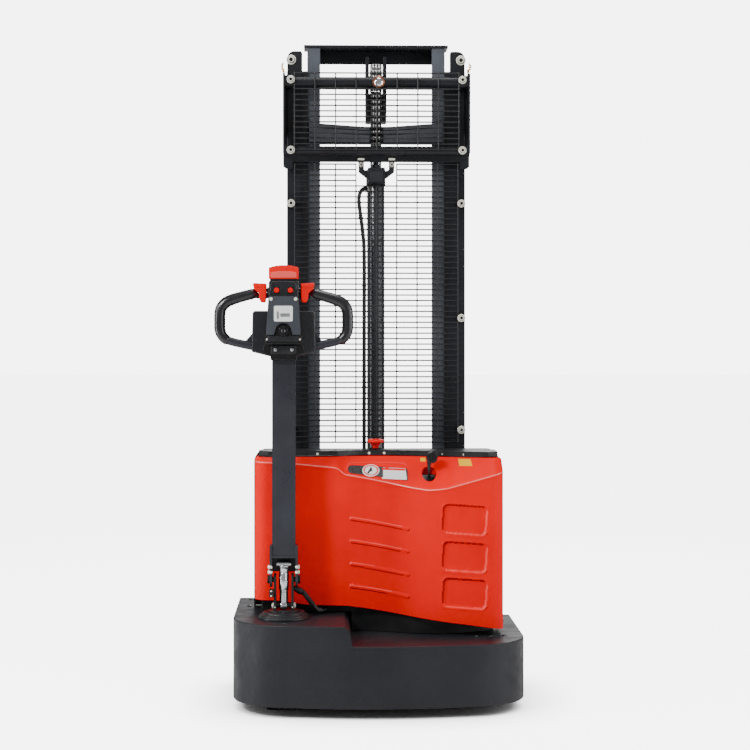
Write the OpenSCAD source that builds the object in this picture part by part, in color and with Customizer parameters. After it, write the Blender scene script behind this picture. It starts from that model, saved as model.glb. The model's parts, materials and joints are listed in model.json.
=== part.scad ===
// Electric walkie stacker: two-stage mast, straddle legs under the forks,
// offset drive unit steered by a tiller, battery hood and wrap-around base cover.
// Machine coordinates: X to the operator's right, Y towards the fork tips with
// Y = 0 at the operator's end of the base cover, Z up from the floor. placed()
// moves them to the frame's origin, the bottom centre of the bounding box.

/* [Base cover] */
// Overall width of the base cover
base_w = 850; // [800:10:900]
// Length of the base cover
base_l = 610; // [600:5:650]
// Ground clearance under the base cover
base_clear_z = 30; // [25:5:35]
// Top of the low right-hand deck
deck_low_z = 207; // [205:1:215]
// Top of the high left-hand deck over the drive unit
deck_high_z = 263; // [262:1:266]
// Radius of the two rounded corners at the operator's end
corner_r = 180; // [120:10:200]

/* [Hood] */
// Half width of the red hood cover
hood_half_w = 366; // [350:1:366]
// Top edge of the red hood cover
hood_top_z = 725; // [715:1:730]
// Y of the hood face on the tiller side
hood_face_left_y = 262; // [255:1:264]
// Y of the hood face on the other side
hood_face_right_y = 172; // [170:1:200]

/* [Mast] */
// Height of the lowered mast
mast_h = 1981; // [1960:1:2000]
// Half width of the outer mast
outer_half_w = 274; // [272:1:276]
// Travel of the inner mast; the forks travel twice as far
lift_stroke = 1350; // [1000:50:1350]

/* [Forks] */
// Length of the forks from the heel face
fork_l = 1150; // [800:50:1200]
// Width of one fork
fork_w = 180; // [170:5:180]
// Width over both forks
fork_spread = 570; // [560:5:580]
// Top of the lowered forks
fork_top_z = 90; // [88:1:92]

/* [Tiller] */
// X of the steering axis
tiller_x = -277; // [-280:1:-270]
// Y of the steering axis
tiller_y = 175; // [172:1:178]
// Half width over the tiller handles
handle_half_w = 201; // [190:1:205]

/* [Wheels] */
// Diameter of the drive wheel
drive_wheel_d = 210; // [200:2:212]
// Diameter of the load wheels in the legs
load_wheel_d = 74; // [70:1:74]
// Diameter of the caster wheel
caster_wheel_d = 125; // [115:1:125]

/* [Hidden] */
$fn = 48;
eps = 0.5;

// Base
base_half_w = base_w / 2;
base_bow = 25;                     // how far the operator's end bulges at its middle
base_wall = 6;
step_top_x = -100;                 // where the high deck starts to fall
step_low_x = -80;                  // where it meets the low deck
mast_notch_half_w = 292;           // notch in the base cover for the mast and carriage
mast_notch_y = 438;

// Mast sections in plan
outer_y0 = 470;
outer_y1 = 580;
outer_lip_x = 227;                 // inner edge of the outer channel's flanges
outer_web_t = 9;
outer_flange_t = 12;
outer_strip_x = 209;               // the outer channel's cover strip reaches this far in
outer_top_z = 1900;
inner_y0 = 477;
inner_y1 = 573;
inner_x0 = 184;
inner_x1 = 212;
inner_web_t = 8;
inner_flange_t = 10;
inner_lip_x = 172;                 // inner edge of the inner channel's front flange
mast_mid_y = (outer_y0 + outer_y1) / 2;
floor_plate_z0 = 46;
floor_plate_z1 = 54;

// Lift cylinder and chain
cyl_y = 506;
barrel_r = 27;
rod_r = 17.5;
barrel_top_z = 1585;
chain_half_w = 14;
chain_half_t = 6;
chain_pitch = 19.05;
pulley_r = 36;
chain_line_r = 42;                 // from the pulley's axis to the middle of the chain
pulley_y = 499;
pulley_z = 1880;
rear_strand_y = pulley_y - chain_line_r;
front_strand_y = pulley_y + chain_line_r;
anchor_z = 1636;                   // lower end of the rear strand
chain_bolt_z = 350;                // where the front strand meets the carriage

// Guard
guard_upper_y = 399;
guard_lower_y = 444;
guard_wire = 3;
guard_pitch_x = 62.5;
guard_pitch_z = 16.7;
guard_half_w = 254;
guard_clear_x = 256;               // the beam's ends stand just outside the mesh
guard_tubes = [[1858, 421.5, 17], [1650, 418, 13.5]];   // height, Y and radius of each tube
guard_bolt_z = [1864, 1650];
guard_bolt_x = 261;

// Carriage
plate_x0 = 170;
plate_x1 = 182;
carriage_z0 = 84;
carriage_z1 = 500;
heel_y = 665;
heel_t = 25;
roller_r = 37.5;
carriage_roller_z = [130, 440];
inner_roller_r = 42.7;
inner_roller_z = 130;

// Forks and legs
fork_y0 = heel_y + heel_t;
fork_y1 = fork_y0 + fork_l;
fork_wall = 8;
fork_side_z = 34;
fork_x = (fork_spread - fork_w) / 2;   // middle of each fork
leg_half_w = 75;
leg_z0 = 22;
leg_z1 = 76;
leg_y0 = 585;
leg_y1 = 1520;
load_axle_y = 1440;
load_axle_r = 10;

// Tiller
steer_shaft_r = 45;
hinge_y = 185;
hinge_z = 375;
hinge_r = 8;
strut_foot_y = 178;
strut_foot_z = 300;
strut_head_y = 181;
strut_head_z = 420;
strut_tilt = atan2(strut_head_y - strut_foot_y, strut_head_z - strut_foot_z);
strut_len = norm([strut_head_y - strut_foot_y, strut_head_z - strut_foot_z]);
arm_half_w = 34;
arm_y0 = 165;
arm_y1 = 205;
arm_z0 = 440;
arm_z1 = 1024;
head_front_y = 140;                // operator's side of the control block
head_top_z = 1243;                 // top of the control block, 6 mm under the belly button
throttle_y = 166;
throttle_z = 1216;
button_x = 20;
button_r = 7.5;
key_z = 1098;

// Caster
caster_x = 300;
caster_y = 190;
caster_trail = 35;
caster_mount_z = 178;

// Frame origin: the middle of the bounding box, on the floor
box_x0 = tiller_x - handle_half_w;
box_x1 = base_half_w;
frame_shift = [-(box_x0 + box_x1) / 2, -fork_y1 / 2, 0];

// ---- helpers ----

module placed() { translate(frame_shift) children(); }

module block(low, high) { translate(low) cube(high - low); }

module both_sides() {
  children();
  mirror([1, 0, 0]) children();
}

module rod_along_x(r, x0, x1, y, z) {
  translate([x0, y, z]) rotate([0, 90, 0]) cylinder(r = r, h = x1 - x0);
}

module rod_along_y(r, y0, y1, x, z) {
  translate([x, y0, z]) rotate([-90, 0, 0]) cylinder(r = r, h = y1 - y0);
}

module rod_along_z(r, z0, z1, x, y) {
  translate([x, y, z0]) cylinder(r = r, h = z1 - z0);
}

// An outline in the X-Z plane, extruded from y0 to y1
module upright(y0, y1) {
  translate([0, y1, 0]) rotate([90, 0, 0]) linear_extrude(y1 - y0) children();
}

// An outline in the Y-Z plane, extruded from x0 to x1
module sideways(x0, x1) {
  translate([x0, 0, 0]) rotate([90, 0, 90]) linear_extrude(x1 - x0) children();
}

function smooth(t) = let (c = min(1, max(0, t))) c * c * (3 - 2 * c);

function arc(cx, cy, r, a0, a1, n) =
  [for (i = [0:n]) let (a = a0 + (a1 - a0) * i / n) [cx + r * cos(a), cy + r * sin(a)]];

function unit(v) = v / norm(v);

// Catmull-Rom curve through hand-chosen points
function curve_point(p, i, t) =
  let (
    a = p[max(i - 1, 0)], b = p[i], c = p[i + 1], d = p[min(i + 2, len(p) - 1)]
  )
  0.5 * (2 * b + (c - a) * t + (2 * a - 5 * b + 4 * c - d) * t * t
    + (3 * b - a - 3 * c + d) * t * t * t);

function curve(p, steps) = [
  for (i = [0:len(p) - 2]) for (k = [0:steps - 1]) curve_point(p, i, k / steps),
  p[len(p) - 1]
];

function heading(p, i) = unit(p[min(i + 1, len(p) - 1)] - p[max(i - 1, 0)]);

// A round tube along a path; side is any direction the path never runs along
module tube_along(path, r, side, sides = 12) {
  rings = len(path);
  points = [
    for (i = [0:rings - 1])
      let (t = heading(path, i), u = unit(cross(t, side)), v = cross(t, u))
      for (k = [0:sides - 1])
        path[i] + r * (u * cos(360 * k / sides) + v * sin(360 * k / sides))
  ];
  walls = [
    for (i = [0:rings - 2]) for (k = [0:sides - 1])
      let (n = (k + 1) % sides)
      [i * sides + k, (i + 1) * sides + k, (i + 1) * sides + n, i * sides + n]
  ];
  start_cap = [for (k = [0:sides - 1]) k];
  end_cap = [for (k = [sides - 1:-1:0]) (rings - 1) * sides + k];
  polyhedron(points, concat([start_cap, end_cap], walls), convexity = 6);
}

// ---- base ----

// Plan of the base cover, shrunk by inset: bowed at the operator's end
module base_plan(inset) {
  w = base_half_w - inset;
  r = corner_r - inset;
  flat = w - r;                     // half width of the bowed part
  bow_r = (flat * flat + base_bow * base_bow) / (2 * base_bow);
  half_angle = asin(flat / bow_r);
  corner_y = base_bow + corner_r;
  polygon(concat(
    arc(-flat, corner_y, r, 180, 270, 10),
    arc(0, inset + bow_r, bow_r, 270 - half_angle, 270 + half_angle, 8),
    arc(flat, corner_y, r, 270, 360, 10),
    [[w, base_l - inset], [-w, base_l - inset]]
  ));
}

// Elevation of the base cover: high deck on the left, low deck on the right
module base_elevation(inset, bottom) {
  polygon([
    [-base_half_w, bottom], [base_half_w, bottom],
    [base_half_w, deck_low_z - inset], [step_low_x - inset, deck_low_z - inset],
    [step_low_x - inset - 8, deck_high_z - inset - 13],
    [step_top_x - inset, deck_high_z - inset], [-base_half_w, deck_high_z - inset]
  ]);
}

module base_block(inset, bottom) {
  intersection() {
    translate([0, 0, bottom]) linear_extrude(400) base_plan(inset);
    upright(-10, base_l + 10) base_elevation(inset, bottom);
  }
}

module base_cover() {
  steering_hole_r = 62;
  color("#26282c") difference() {
    base_block(0, base_clear_z);
    difference() {
      base_block(base_wall, base_clear_z - 1);
      block([-mast_notch_half_w - base_wall, mast_notch_y - base_wall, 0],
        [mast_notch_half_w + base_wall, base_l + 1, 400]);
    }
    block([-mast_notch_half_w, mast_notch_y, 0], [mast_notch_half_w, base_l + 1, 400]);
    block([-outer_half_w - 2, mast_notch_y - 8, 0], [outer_half_w + 2, mast_notch_y + 1, 60]);
    rod_along_z(steering_hole_r, deck_high_z - 20, deck_high_z + 10, tiller_x, tiller_y);
  }
}

module base_frame() {
  inside_x = base_half_w - 12;
  bulkhead_y = 312;
  drive_plate_z0 = 240;
  drive_plate_z1 = 250;
  color("#2b2d30") difference() {
    union() {
      block([-inside_x, bulkhead_y, floor_plate_z0], [inside_x, mast_notch_y - 8, floor_plate_z1]);
      block([-outer_half_w, mast_notch_y - 9, floor_plate_z0],
        [outer_half_w, leg_y0, floor_plate_z1]);
      block([-inside_x, bulkhead_y, floor_plate_z1 - 1], [-130, bulkhead_y + 8, drive_plate_z1]);
      block([190, bulkhead_y, floor_plate_z1 - 1],
        [inside_x, bulkhead_y + 8, caster_mount_z + 8]);
      block([-360, 92, drive_plate_z0], [-130, bulkhead_y + 1, drive_plate_z1]);
      block([190, 92, caster_mount_z], [360, bulkhead_y + 1, caster_mount_z + 8]);
    }
    rod_along_z(steer_shaft_r + 0.05, drive_plate_z0 - 1, drive_plate_z1 + 1, tiller_x, tiller_y);
    rod_along_z(12.05, caster_mount_z - 1, caster_mount_z + 9, caster_x, caster_y);
  }
}

module leg() {
  wheel_slot = load_wheel_d / 2 + 6;
  color("#2b2d30") difference() {
    block([fork_x - leg_half_w, leg_y0, leg_z0], [fork_x + leg_half_w, leg_y1, leg_z1]);
    block([fork_x - leg_half_w + 14, load_axle_y - wheel_slot, 0],
      [fork_x + leg_half_w - 14, load_axle_y + wheel_slot, 100]);
    block([fork_x - leg_half_w + 8, leg_y0 - 1, leg_z0 - 1],
      [fork_x + leg_half_w - 8, load_axle_y - wheel_slot - 12, leg_z1 - 8]);
    rod_along_x(load_axle_r, 0, 400, load_axle_y, load_wheel_d / 2);
  }
}

module leg_left() { mirror([1, 0, 0]) leg(); }
module leg_right() { leg(); }

module leg_axles() {
  color("silver") both_sides()
    rod_along_x(load_axle_r - 0.02, fork_x - leg_half_w, fork_x + leg_half_w,
      load_axle_y, load_wheel_d / 2);
}

module load_wheel() {
  half = leg_half_w - 16;
  color("#c8a060") difference() {
    rod_along_x(load_wheel_d / 2, fork_x - half, fork_x + half, load_axle_y, load_wheel_d / 2);
    rod_along_x(load_axle_r + 0.05, fork_x - half - 1, fork_x + half + 1,
      load_axle_y, load_wheel_d / 2);
  }
}

module load_wheel_left() { mirror([1, 0, 0]) load_wheel(); }
module load_wheel_right() { load_wheel(); }

// ---- hood ----

// Plan of the hood face: back on the tiller side, forward on the other side
function face_y(x) =
  hood_face_left_y - (hood_face_left_y - hood_face_right_y) * smooth((x + 40) / 270)
  + end_round(x);

// The face turns back into the side walls over the last 40 mm
function end_round(x) =
  let (r = 40, over = max(0, abs(x) - (hood_half_w - r))) r - sqrt(r * r - over * over);

// Lower edge of the hood, falling towards the right
foot_points = [
  [-400, 303], [-306, 303], [-202, 289], [-91, 286], [14, 272], [128, 257], [241, 244], [400, 222]
];
function hood_foot_z(x) = lookup(x, foot_points);

// Height of the crease between the textured face and the sloping brow
crease_points = [
  [-400, 714], [-240, 706], [-121, 694], [-112, 688], [-102, 675], [-60, 668],
  [33, 651], [98, 639], [146, 633], [195, 638], [275, 660], [400, 696]
];
function crease_z(x) = lookup(x, crease_points);

// The brow leans back at this angle from the vertical
brow_angle = 51;
function brow_y(x) = face_y(x) + tan(brow_angle) * (hood_top_z - crease_z(x));

hood_back_y = 372;
hood_stations = concat(
  [-hood_half_w, -hood_half_w + 2, -hood_half_w + 8, -hood_half_w + 20, -hood_half_w + 40],
  [-280, -240, -190, -121, -112, -102, -60, -30, 0, 33, 66, 98, 122, 146, 170, 195, 235, 275],
  [hood_half_w - 40, hood_half_w - 20, hood_half_w - 8, hood_half_w - 2, hood_half_w]
);

// The hood's outline at one station, pulled in by t
function hood_section(x, t) =
  let (c = crease_z(x) - t * 0.4, face = face_y(x) + t, top = hood_top_z - t)
  [
    [hood_back_y + (t > 0 ? 1 : 0), hood_foot_z(x) - (t > 0 ? 1 : 0)],
    [face, hood_foot_z(x) - (t > 0 ? 1 : 0)],
    [face, c],
    [min(brow_y(x) + t * 0.5, hood_back_y - 4), top],
    [hood_back_y + (t > 0 ? 1 : 0), top]
  ];

module hood_body(t) {
  shrink = (hood_half_w - t) / hood_half_w;
  n = len(hood_stations);
  points = [
    for (x = hood_stations) for (p = hood_section(x, t)) [x * shrink, p[0], p[1]]
  ];
  walls = [
    for (i = [0:n - 2]) for (k = [0:4])
      let (m = (k + 1) % 5)
      each [
        [i * 5 + k, i * 5 + m, (i + 1) * 5 + m],
        [i * 5 + k, (i + 1) * 5 + m, (i + 1) * 5 + k]
      ]
  ];
  caps = [[4, 3, 2, 1, 0], [for (k = [0:4]) (n - 1) * 5 + k]];
  polyhedron(points, concat(walls, caps), convexity = 6);
}

// Where the charger plug's lead comes out of the brow
plug_x = 150;
plug_y = 240;
plug_hole_z = 677;
plug_hole_r = 20.5;

module hood_cover() {
  color("#e5140f") difference() {
    hood_body(0);
    hood_body(5);
    rod_along_y(plug_hole_r, 160, 300, plug_x, plug_hole_z);
  }
}

// Front edge of the black top panel, just behind the red brow's upper edge
panel_stations = [for (i = [0:24]) -hood_half_w + 2 * hood_half_w * i / 24];
hood_shell_z1 = hood_top_z + 17;
hood_rear_y = 442;

module hood_shell() {
  half = hood_half_w + 5;
  wall = 4;
  top_r = 36;
  color("#2f3135") {
    difference() {
      upright(hood_back_y + 0.3, hood_rear_y) hull() {
        both_ends_round(half, top_r, hood_shell_z1, 266);
      }
      upright(hood_back_y - 1, hood_rear_y - wall) hull() {
        both_ends_round(half - wall, top_r - wall, hood_shell_z1 - wall, 260);
      }
      rod_along_z(15, hood_shell_z1 - 60, hood_shell_z1 + 1, stop_x, stop_y);
    }
    translate([0, 0, hood_top_z + 0.3]) linear_extrude(hood_shell_z1 - hood_top_z - 0.3)
      polygon(concat(
        [for (x = panel_stations) [x * 0.97, min(brow_y(x) + 6, hood_back_y - 2)]],
        [[hood_half_w * 0.97, hood_back_y + 3], [-hood_half_w * 0.97, hood_back_y + 3]]
      ));
  }
}

// Two rounded upper corners and two square feet, to be hulled
module both_ends_round(half, r, top, bottom) {
  for (s = [-1, 1]) translate([s * (half - r), top - r]) circle(r = r, $fn = 32);
  translate([-half, bottom]) square([2 * half, 1]);
}

tray_points = [
  [-345, 300], [-60, 300], [29, 268], [100, 236], [173, 226], [250, 238], [345, 290],
  [345, 434], [-345, 434]
];

module battery_tray() {
  tray_z0 = deck_high_z + 0.5;
  color("#202225") difference() {
    translate([0, 0, deck_low_z + 0.5]) linear_extrude(108) polygon(tray_points);
    block([-400, 0, 0], [step_low_x + 1, 500, tray_z0]);
    translate([0, 0, tray_z0 + 8]) linear_extrude(100) offset(delta = -6) polygon(tray_points);
  }
}

module batteries() {
  z0 = deck_high_z + 9;
  color("#3b3f45") for (x0 = [-335, 5])
    difference() {
      union() {
        block([x0, 310, z0], [x0 + 330, 425, z0 + 215]);
        for (dx = [40, 290]) rod_along_z(9, z0 + 214, z0 + 232, x0 + dx, 340);
      }
      for (i = [0:5]) rod_along_z(10, z0 + 212, z0 + 216, x0 + 40 + 50 * i, 390);
    }
}

inner_gear_z = deck_high_z + 9 + 240;   // level of the equipment above the batteries

module oil_tank() {
  color("#d8dadc") difference() {
    block([-330, 385, inner_gear_z], [-120, 436, inner_gear_z + 170]);
    block([-326, 389, inner_gear_z + 4], [-124, 432, inner_gear_z + 166]);
    rod_along_z(14, inner_gear_z + 160, inner_gear_z + 180, -300, 410);
  }
}

module pump_motor() {
  color("#50545a") {
    rod_along_x(30, -50, 40, 404, inner_gear_z + 60);
    block([-118, 380, inner_gear_z + 25], [-51, 434, inner_gear_z + 95]);
    rod_along_x(12, -52, -49, 404, inner_gear_z + 60);
  }
}

module motor_controller() {
  fins = 8;
  color("#8d9196") {
    block([195, 395, inner_gear_z], [345, 436, inner_gear_z + 120]);
    for (i = [0:fins - 1])
      block([200 + i * 19, 383, inner_gear_z + 5], [205 + i * 19, 396, inner_gear_z + 115]);
  }
}

module battery_charger() {
  color("#9a9da1") block([60, 395, inner_gear_z + 4], [185, 436, inner_gear_z + 94]);
}

// The lead is wound up on the right-hand battery and rises through the hood to its parked plug
lead_r = 3.5;
coil_x = 170;
coil_y = 356;
coil_z0 = deck_high_z + 9 + 217;
coil_r = 38;                       // middle of the winding: two turns wide, three high
lead_points = [
  [coil_x + 41, coil_y, coil_z0 + 24], [215, 340, coil_z0 + 34], [212, 322, coil_z0 + 70],
  [195, 312, coil_z0 + 110], [170, 305, coil_z0 + 145], [plug_x, 285, plug_hole_z - 16],
  [plug_x, 256, plug_hole_z - 10], [plug_x, plug_y + 2, plug_hole_z + 1],
  [plug_x, plug_y, plug_hole_z + 12]
];
tail_points = [
  [coil_x - 33, coil_y, coil_z0 + 24], [132, 366, coil_z0 + 32], [122, 388, coil_z0 + 35],
  [122, 394.5, coil_z0 + 35]
];

module charger_lead() {
  color("#17181a") {
    translate([coil_x, coil_y, coil_z0]) rotate_extrude()
      translate([coil_r - 2 * lead_r, 0]) square([4 * lead_r, 6 * lead_r + 1]);
    tube_along(curve(lead_points, 3), lead_r, [1, 0.2, 0], 8);
    tube_along(curve(tail_points, 3), lead_r, [0, 0.3, 1], 8);
  }
}

module charger_plug() {
  color("#121315") translate([plug_x, plug_y, plug_hole_z + 12.2]) {
    cylinder(r1 = 4.5, r2 = 6.5, h = 26);
    translate([8, -17, 37]) rotate([-90, 0, 0]) cylinder(r = 17, h = 26);
    for (x = [-1.5, 17.5]) translate([x, -34, 37]) rotate([-90, 0, 0]) cylinder(r = 2.4, h = 18);
  }
}

// A thin black plate that follows the brow
module indicator_panel() {
  color("#101113") intersection() {
    difference() {
      hood_body(-1.2);
      hood_body(0);
    }
    upright(100, hood_back_y - 1) hull() {
      translate([-78, 689]) circle(r = 11, $fn = 24);
      translate([82, 685]) circle(r = 6, $fn = 24);
      translate([82, 664]) circle(r = 6, $fn = 24);
    }
  }
}

stop_x = -4;
stop_y = 392;

module stop_button_base() {
  color("#2b2d30") difference() {
    union() {
      rod_along_z(14.8, hood_shell_z1 - 50, hood_shell_z1 + 0.2, stop_x, stop_y);
      rod_along_z(19, hood_shell_z1 + 0.1, hood_shell_z1 + 4, stop_x, stop_y);
    }
    rod_along_z(9.06, hood_shell_z1 - 30, hood_shell_z1 + 10, stop_x, stop_y);
  }
}

module stop_button() {
  z0 = hood_shell_z1 + 12;
  color("#e0120d") translate([stop_x, stop_y, 0]) {
    rod_along_z(9, hood_shell_z1 - 20, z0 + 1, 0, 0);
    translate([0, 0, z0]) rotate_extrude()
      polygon([[0, 0], [14, 0], [16, 5], [23, 8], [26, 12], [25, 16], [19, 19], [0, 21]]);
  }
}

// ---- outer mast ----

module outer_channel() {
  block([outer_strip_x, outer_y0, floor_plate_z1], [outer_lip_x + 1, outer_y0 + 5.5, outer_top_z]);
  difference() {
    block([outer_lip_x, outer_y0, floor_plate_z1], [outer_half_w, outer_y1, outer_top_z]);
    block([outer_lip_x - 1, outer_y0 + outer_flange_t, 0],
      [outer_half_w - outer_web_t, outer_y1 - outer_flange_t, mast_h]);
  }
}

module outer_mast_channels() { color("#33363b") both_sides() outer_channel(); }

guard_lug_z = [798, 1141, 1492];
beam_z0 = 1618;
beam_z1 = 1642;

module outer_mast_ties() {
  color("#2d3034") both_sides() {
    for (z = guard_lug_z) difference() {
      block([250, guard_lower_y + guard_wire, z - 12], [270, outer_y0, z + 12]);
      rod_along_y(5.1, 440, outer_y0 + 1, guard_bolt_x, z);
    }
    difference() {
      upright(outer_y0 - 4, outer_y0) polygon(concat(
        [[outer_lip_x, 1850], [outer_half_w - 1, 1850]],
        arc(outer_half_w - 23, 1939, 22, 0, 90, 6),
        [[outer_lip_x + 4, 1961], [outer_lip_x, 1955]]
      ));
      rod_along_y(6.1, 460, 480, guard_bolt_x, 1934);
    }
  }
  color("#2d3034") {
    block([-285, 440, beam_z0], [285, 446, beam_z1]);
    block([-285, 432, beam_z1 - 6], [285, 441, beam_z1]);
    both_sides() {
      upright(440, 446) polygon([
        [guard_clear_x, beam_z1], [285, beam_z1], [285, 1604], [276, 1597], [guard_clear_x, 1597]
      ]);
      block([guard_clear_x, 445, 1604], [outer_half_w, outer_y0, beam_z1]);
    }
    block([-outer_half_w, 446, 300], [outer_half_w, 460, 350]);
    both_sides() block([outer_lip_x + 4, 459, 300], [outer_half_w, outer_y0, 350]);
  }
}

module guard_frame() {
  color("#2d3034") {
    for (i = [0, 1]) difference() {
      tube = guard_tubes[i];
      z = guard_bolt_z[i];
      union() {
        rod_along_x(tube[2], -279, 279, tube[1], tube[0]);
        both_sides() block([247, 402, z - 13], [279, 406, z + 13]);
      }
      both_sides() rod_along_y(5.1, 400, 412, guard_bolt_x, z);
    }
    both_sides() {
      difference() {
        block([279, 402, beam_z1], [285, 500, 1885]);
        block([270, 446, beam_z1 - 1], [290, 470, beam_z1 + 60]);
      }
      block([outer_half_w, 474, beam_z1 + 4], [279, 496, 1885]);
    }
  }
}

// A flat welded grille in the X-Z plane; a notch leaves out the middle of its upper rows
module grille(half_w, z0, z1, notch_z) {
  rows = floor((z1 - z0) / guard_pitch_z);
  cols = floor(half_w / guard_pitch_x);
  w = guard_wire / 2;
  for (i = [0:rows]) {
    z = z1 - i * guard_pitch_z;
    if (z > notch_z) {
      for (s = [-1, 1]) translate([s > 0 ? guard_pitch_x - w : -half_w, z - w])
        square([half_w - guard_pitch_x + w, guard_wire]);
    } else {
      translate([-half_w, z - w]) square([2 * half_w, guard_wire]);
    }
  }
  for (c = [-cols:cols]) {
    top = c == 0 && notch_z < z1 ? notch_z : z1;
    bottom = z1 - rows * guard_pitch_z;
    translate([c * guard_pitch_x - w, bottom]) square([guard_wire, top - bottom]);
  }
}

module guard_mesh() {
  color("#54575c") {
    upright(guard_upper_y, guard_upper_y + guard_wire) {
      grille(guard_half_w, 1650, 1836, mast_h);
      translate([-guard_half_w, 1883]) square([2 * guard_half_w, guard_wire]);
      for (s = [-4:4]) translate([s * guard_pitch_x - guard_wire / 2, 1830]) square([guard_wire, 54]);
    }
    upright(guard_lower_y, guard_lower_y + guard_wire) grille(guard_half_w, 745, 1612, 1548);
  }
}

// Washer, hexagon head and shank, seated on a face at y0 and looking at the operator
module guard_bolt(x, y0, z, shank) {
  translate([x, y0, z]) rotate([90, 0, 0]) {
    difference() {
      cylinder(r = 12, h = 3);
      translate([0, 0, -1]) cylinder(r = 4.9, h = 5);
    }
    translate([0, 0, 2.9]) cylinder(r = 8, h = 6, $fn = 6);
    translate([0, 0, -shank]) cylinder(r = 5, h = shank + 4);
  }
}

module guard_bolts() {
  color("#d9cfc0") both_sides() {
    for (z = guard_bolt_z) guard_bolt(guard_bolt_x, guard_upper_y, z, 9);
    for (z = guard_lug_z) guard_bolt(guard_bolt_x, guard_lower_y, z, 18);
    guard_bolt(guard_bolt_x, outer_y0 - 4, 1934, 12);
  }
}

// ---- lift cylinder, rod and chain ----

module lift_cylinder() {
  color("#26292d") difference() {
    union() {
      rod_along_z(barrel_r, floor_plate_z1, barrel_top_z, 0, cyl_y);
      rod_along_z(barrel_r + 4, floor_plate_z1, floor_plate_z1 + 25, 0, cyl_y);
    }
    rod_along_z(21, floor_plate_z1 + 30, barrel_top_z - 25, 0, cyl_y);
    rod_along_z(rod_r + 0.05, barrel_top_z - 40, barrel_top_z + 1, 0, cyl_y);
  }
}

module lift_rod() {
  color("#c9ccd0") {
    rod_along_z(rod_r, 130, 1744, 0, cyl_y);
    rod_along_z(20.95, 100, 131, 0, cyl_y);
  }
}

clamp_z0 = 1552;
clamp_z1 = 1600;

module cylinder_clamp() {
  color("#1e2023") difference() {
    union() {
      rod_along_z(30, clamp_z0, clamp_z1, 0, cyl_y);
      block([-26, 425, clamp_z0], [26, cyl_y - 20, clamp_z1]);
      both_sides() upright(432, 440) polygon([
        [20, 1562], [34, 1570], [54, 1586], [56, 1627], [38, 1627], [38, 1594], [20, 1586]
      ]);
    }
    rod_along_z(barrel_r + 0.03, clamp_z0 - 1, clamp_z1 + 1, 0, cyl_y);
  }
  color("#d9cfc0") both_sides() rod_along_y(6, 426, 432, 47, 1609);
}

hose_points = [
  [-28, 489, 1538], [-34, 470, 1540], [-46, 458, 1532], [-53, 456, 1508], [-50, 456, 1470],
  [-41, 456, 1400], [-37, 456, 1330], [-37, 456, 1100], [-37, 456, 900], [-37, 456, 560],
  [-37, 453, 400], [-37, 453, 350.4]
];

module lift_hose() {
  color("#131416") tube_along(curve(hose_points, 4), 6, [0.3, 1, 0.1], 10);
}

// One straight strand: three rows of link plates on pins
module chain_strand(y, z0, z1) {
  links = floor((z1 - z0) / chain_pitch);
  for (x = [-chain_half_w, -3, 8]) block([x, y - 4, z0], [x + 6, y + 4, z1]);
  for (i = [0:links - 1])
    rod_along_x(3, -chain_half_w, chain_half_w, y, z0 + (i + 0.5) * chain_pitch, $fn = 16);
}

module chain_rear() {
  color("#3a3836") {
    chain_strand(rear_strand_y, anchor_z + 8, pulley_z);
    block([-chain_half_w, rear_strand_y - 6, anchor_z], [chain_half_w, rear_strand_y + 6, anchor_z + 9]);
    block([-12, 446, beam_z0], [12, rear_strand_y, anchor_z + 1]);
  }
}

module chain_front() {
  color("#3a3836") {
    chain_strand(front_strand_y, chain_bolt_z, pulley_z);
    translate([0, pulley_y, pulley_z]) rotate([0, 90, 0]) difference() {
      translate([0, 0, -chain_half_w]) cylinder(r = chain_line_r + 5, h = 2 * chain_half_w);
      translate([0, 0, -chain_half_w - 1]) cylinder(r = pulley_r + 0.4, h = 2 * chain_half_w + 2);
      translate([0, -60, -60]) cube([60, 120, 120]);
    }
  }
}

module chain_pulley() {
  color("#74777c") difference() {
    union() {
      rod_along_x(pulley_r, -18, 18, pulley_y, pulley_z);
      both_sides() rod_along_x(44, 15, 18, pulley_y, pulley_z);
    }
    rod_along_x(10.05, -20, 20, pulley_y, pulley_z);
  }
}

// ---- inner mast ----

module inner_channel() {
  block([inner_lip_x, inner_y0, 70], [inner_x0 + 1, inner_y0 + 8, mast_h - 8]);
  difference() {
    block([inner_x0, inner_y0, 70], [inner_x1, inner_y1, mast_h - 8]);
    block([inner_x0 - 1, inner_y0 + inner_flange_t, 0],
      [inner_x1 - inner_web_t, inner_y1 - inner_flange_t, mast_h]);
  }
  rod_along_x(16, inner_x1 - 1, outer_lip_x, mast_mid_y, inner_roller_z);
  rod_along_x(12, inner_x1 - 1, outer_half_w - outer_web_t - 1, mast_mid_y, inner_roller_z);
}

module inner_mast_channels() { color("#3d4147") both_sides() inner_channel(); }

module inner_mast_ties() {
  web_z0 = mast_h - 47;
  color("#34373c") {
    block([-222, 470, mast_h - 8], [222, 557, mast_h]);
    block([-inner_x0, 549, web_z0], [inner_x0, 557, mast_h - 7]);
    upright(465, inner_y0) polygon([
      [-206, 1740], [-206, 1679], [-18, 1677], [18, 1677], [206, 1679], [206, 1740],
      [18, 1727], [-18, 1727]
    ]);
    block([-206, 465, 100], [206, inner_y0, 160]);
  }
}

module pulley_bracket() {
  color("#2c2f33") {
    both_sides() sideways(22, 32) polygon([
      [468, 1944], [549, 1944], [549, 1800], [530, 1744], [478, 1744], [468, 1790]
    ]);
    rod_along_x(10, -22, 22, pulley_y, pulley_z);
    block([-22, 482, 1744], [22, 530, 1790]);
    block([-22, 478, 1744], [22, 484, 1832]);
  }
}

module inner_mast_rollers() {
  color("#8b8e92") both_sides() difference() {
    rod_along_x(inner_roller_r, outer_lip_x + 2, 262, mast_mid_y, inner_roller_z);
    rod_along_x(12.05, outer_lip_x, 264, mast_mid_y, inner_roller_z);
  }
}

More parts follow.
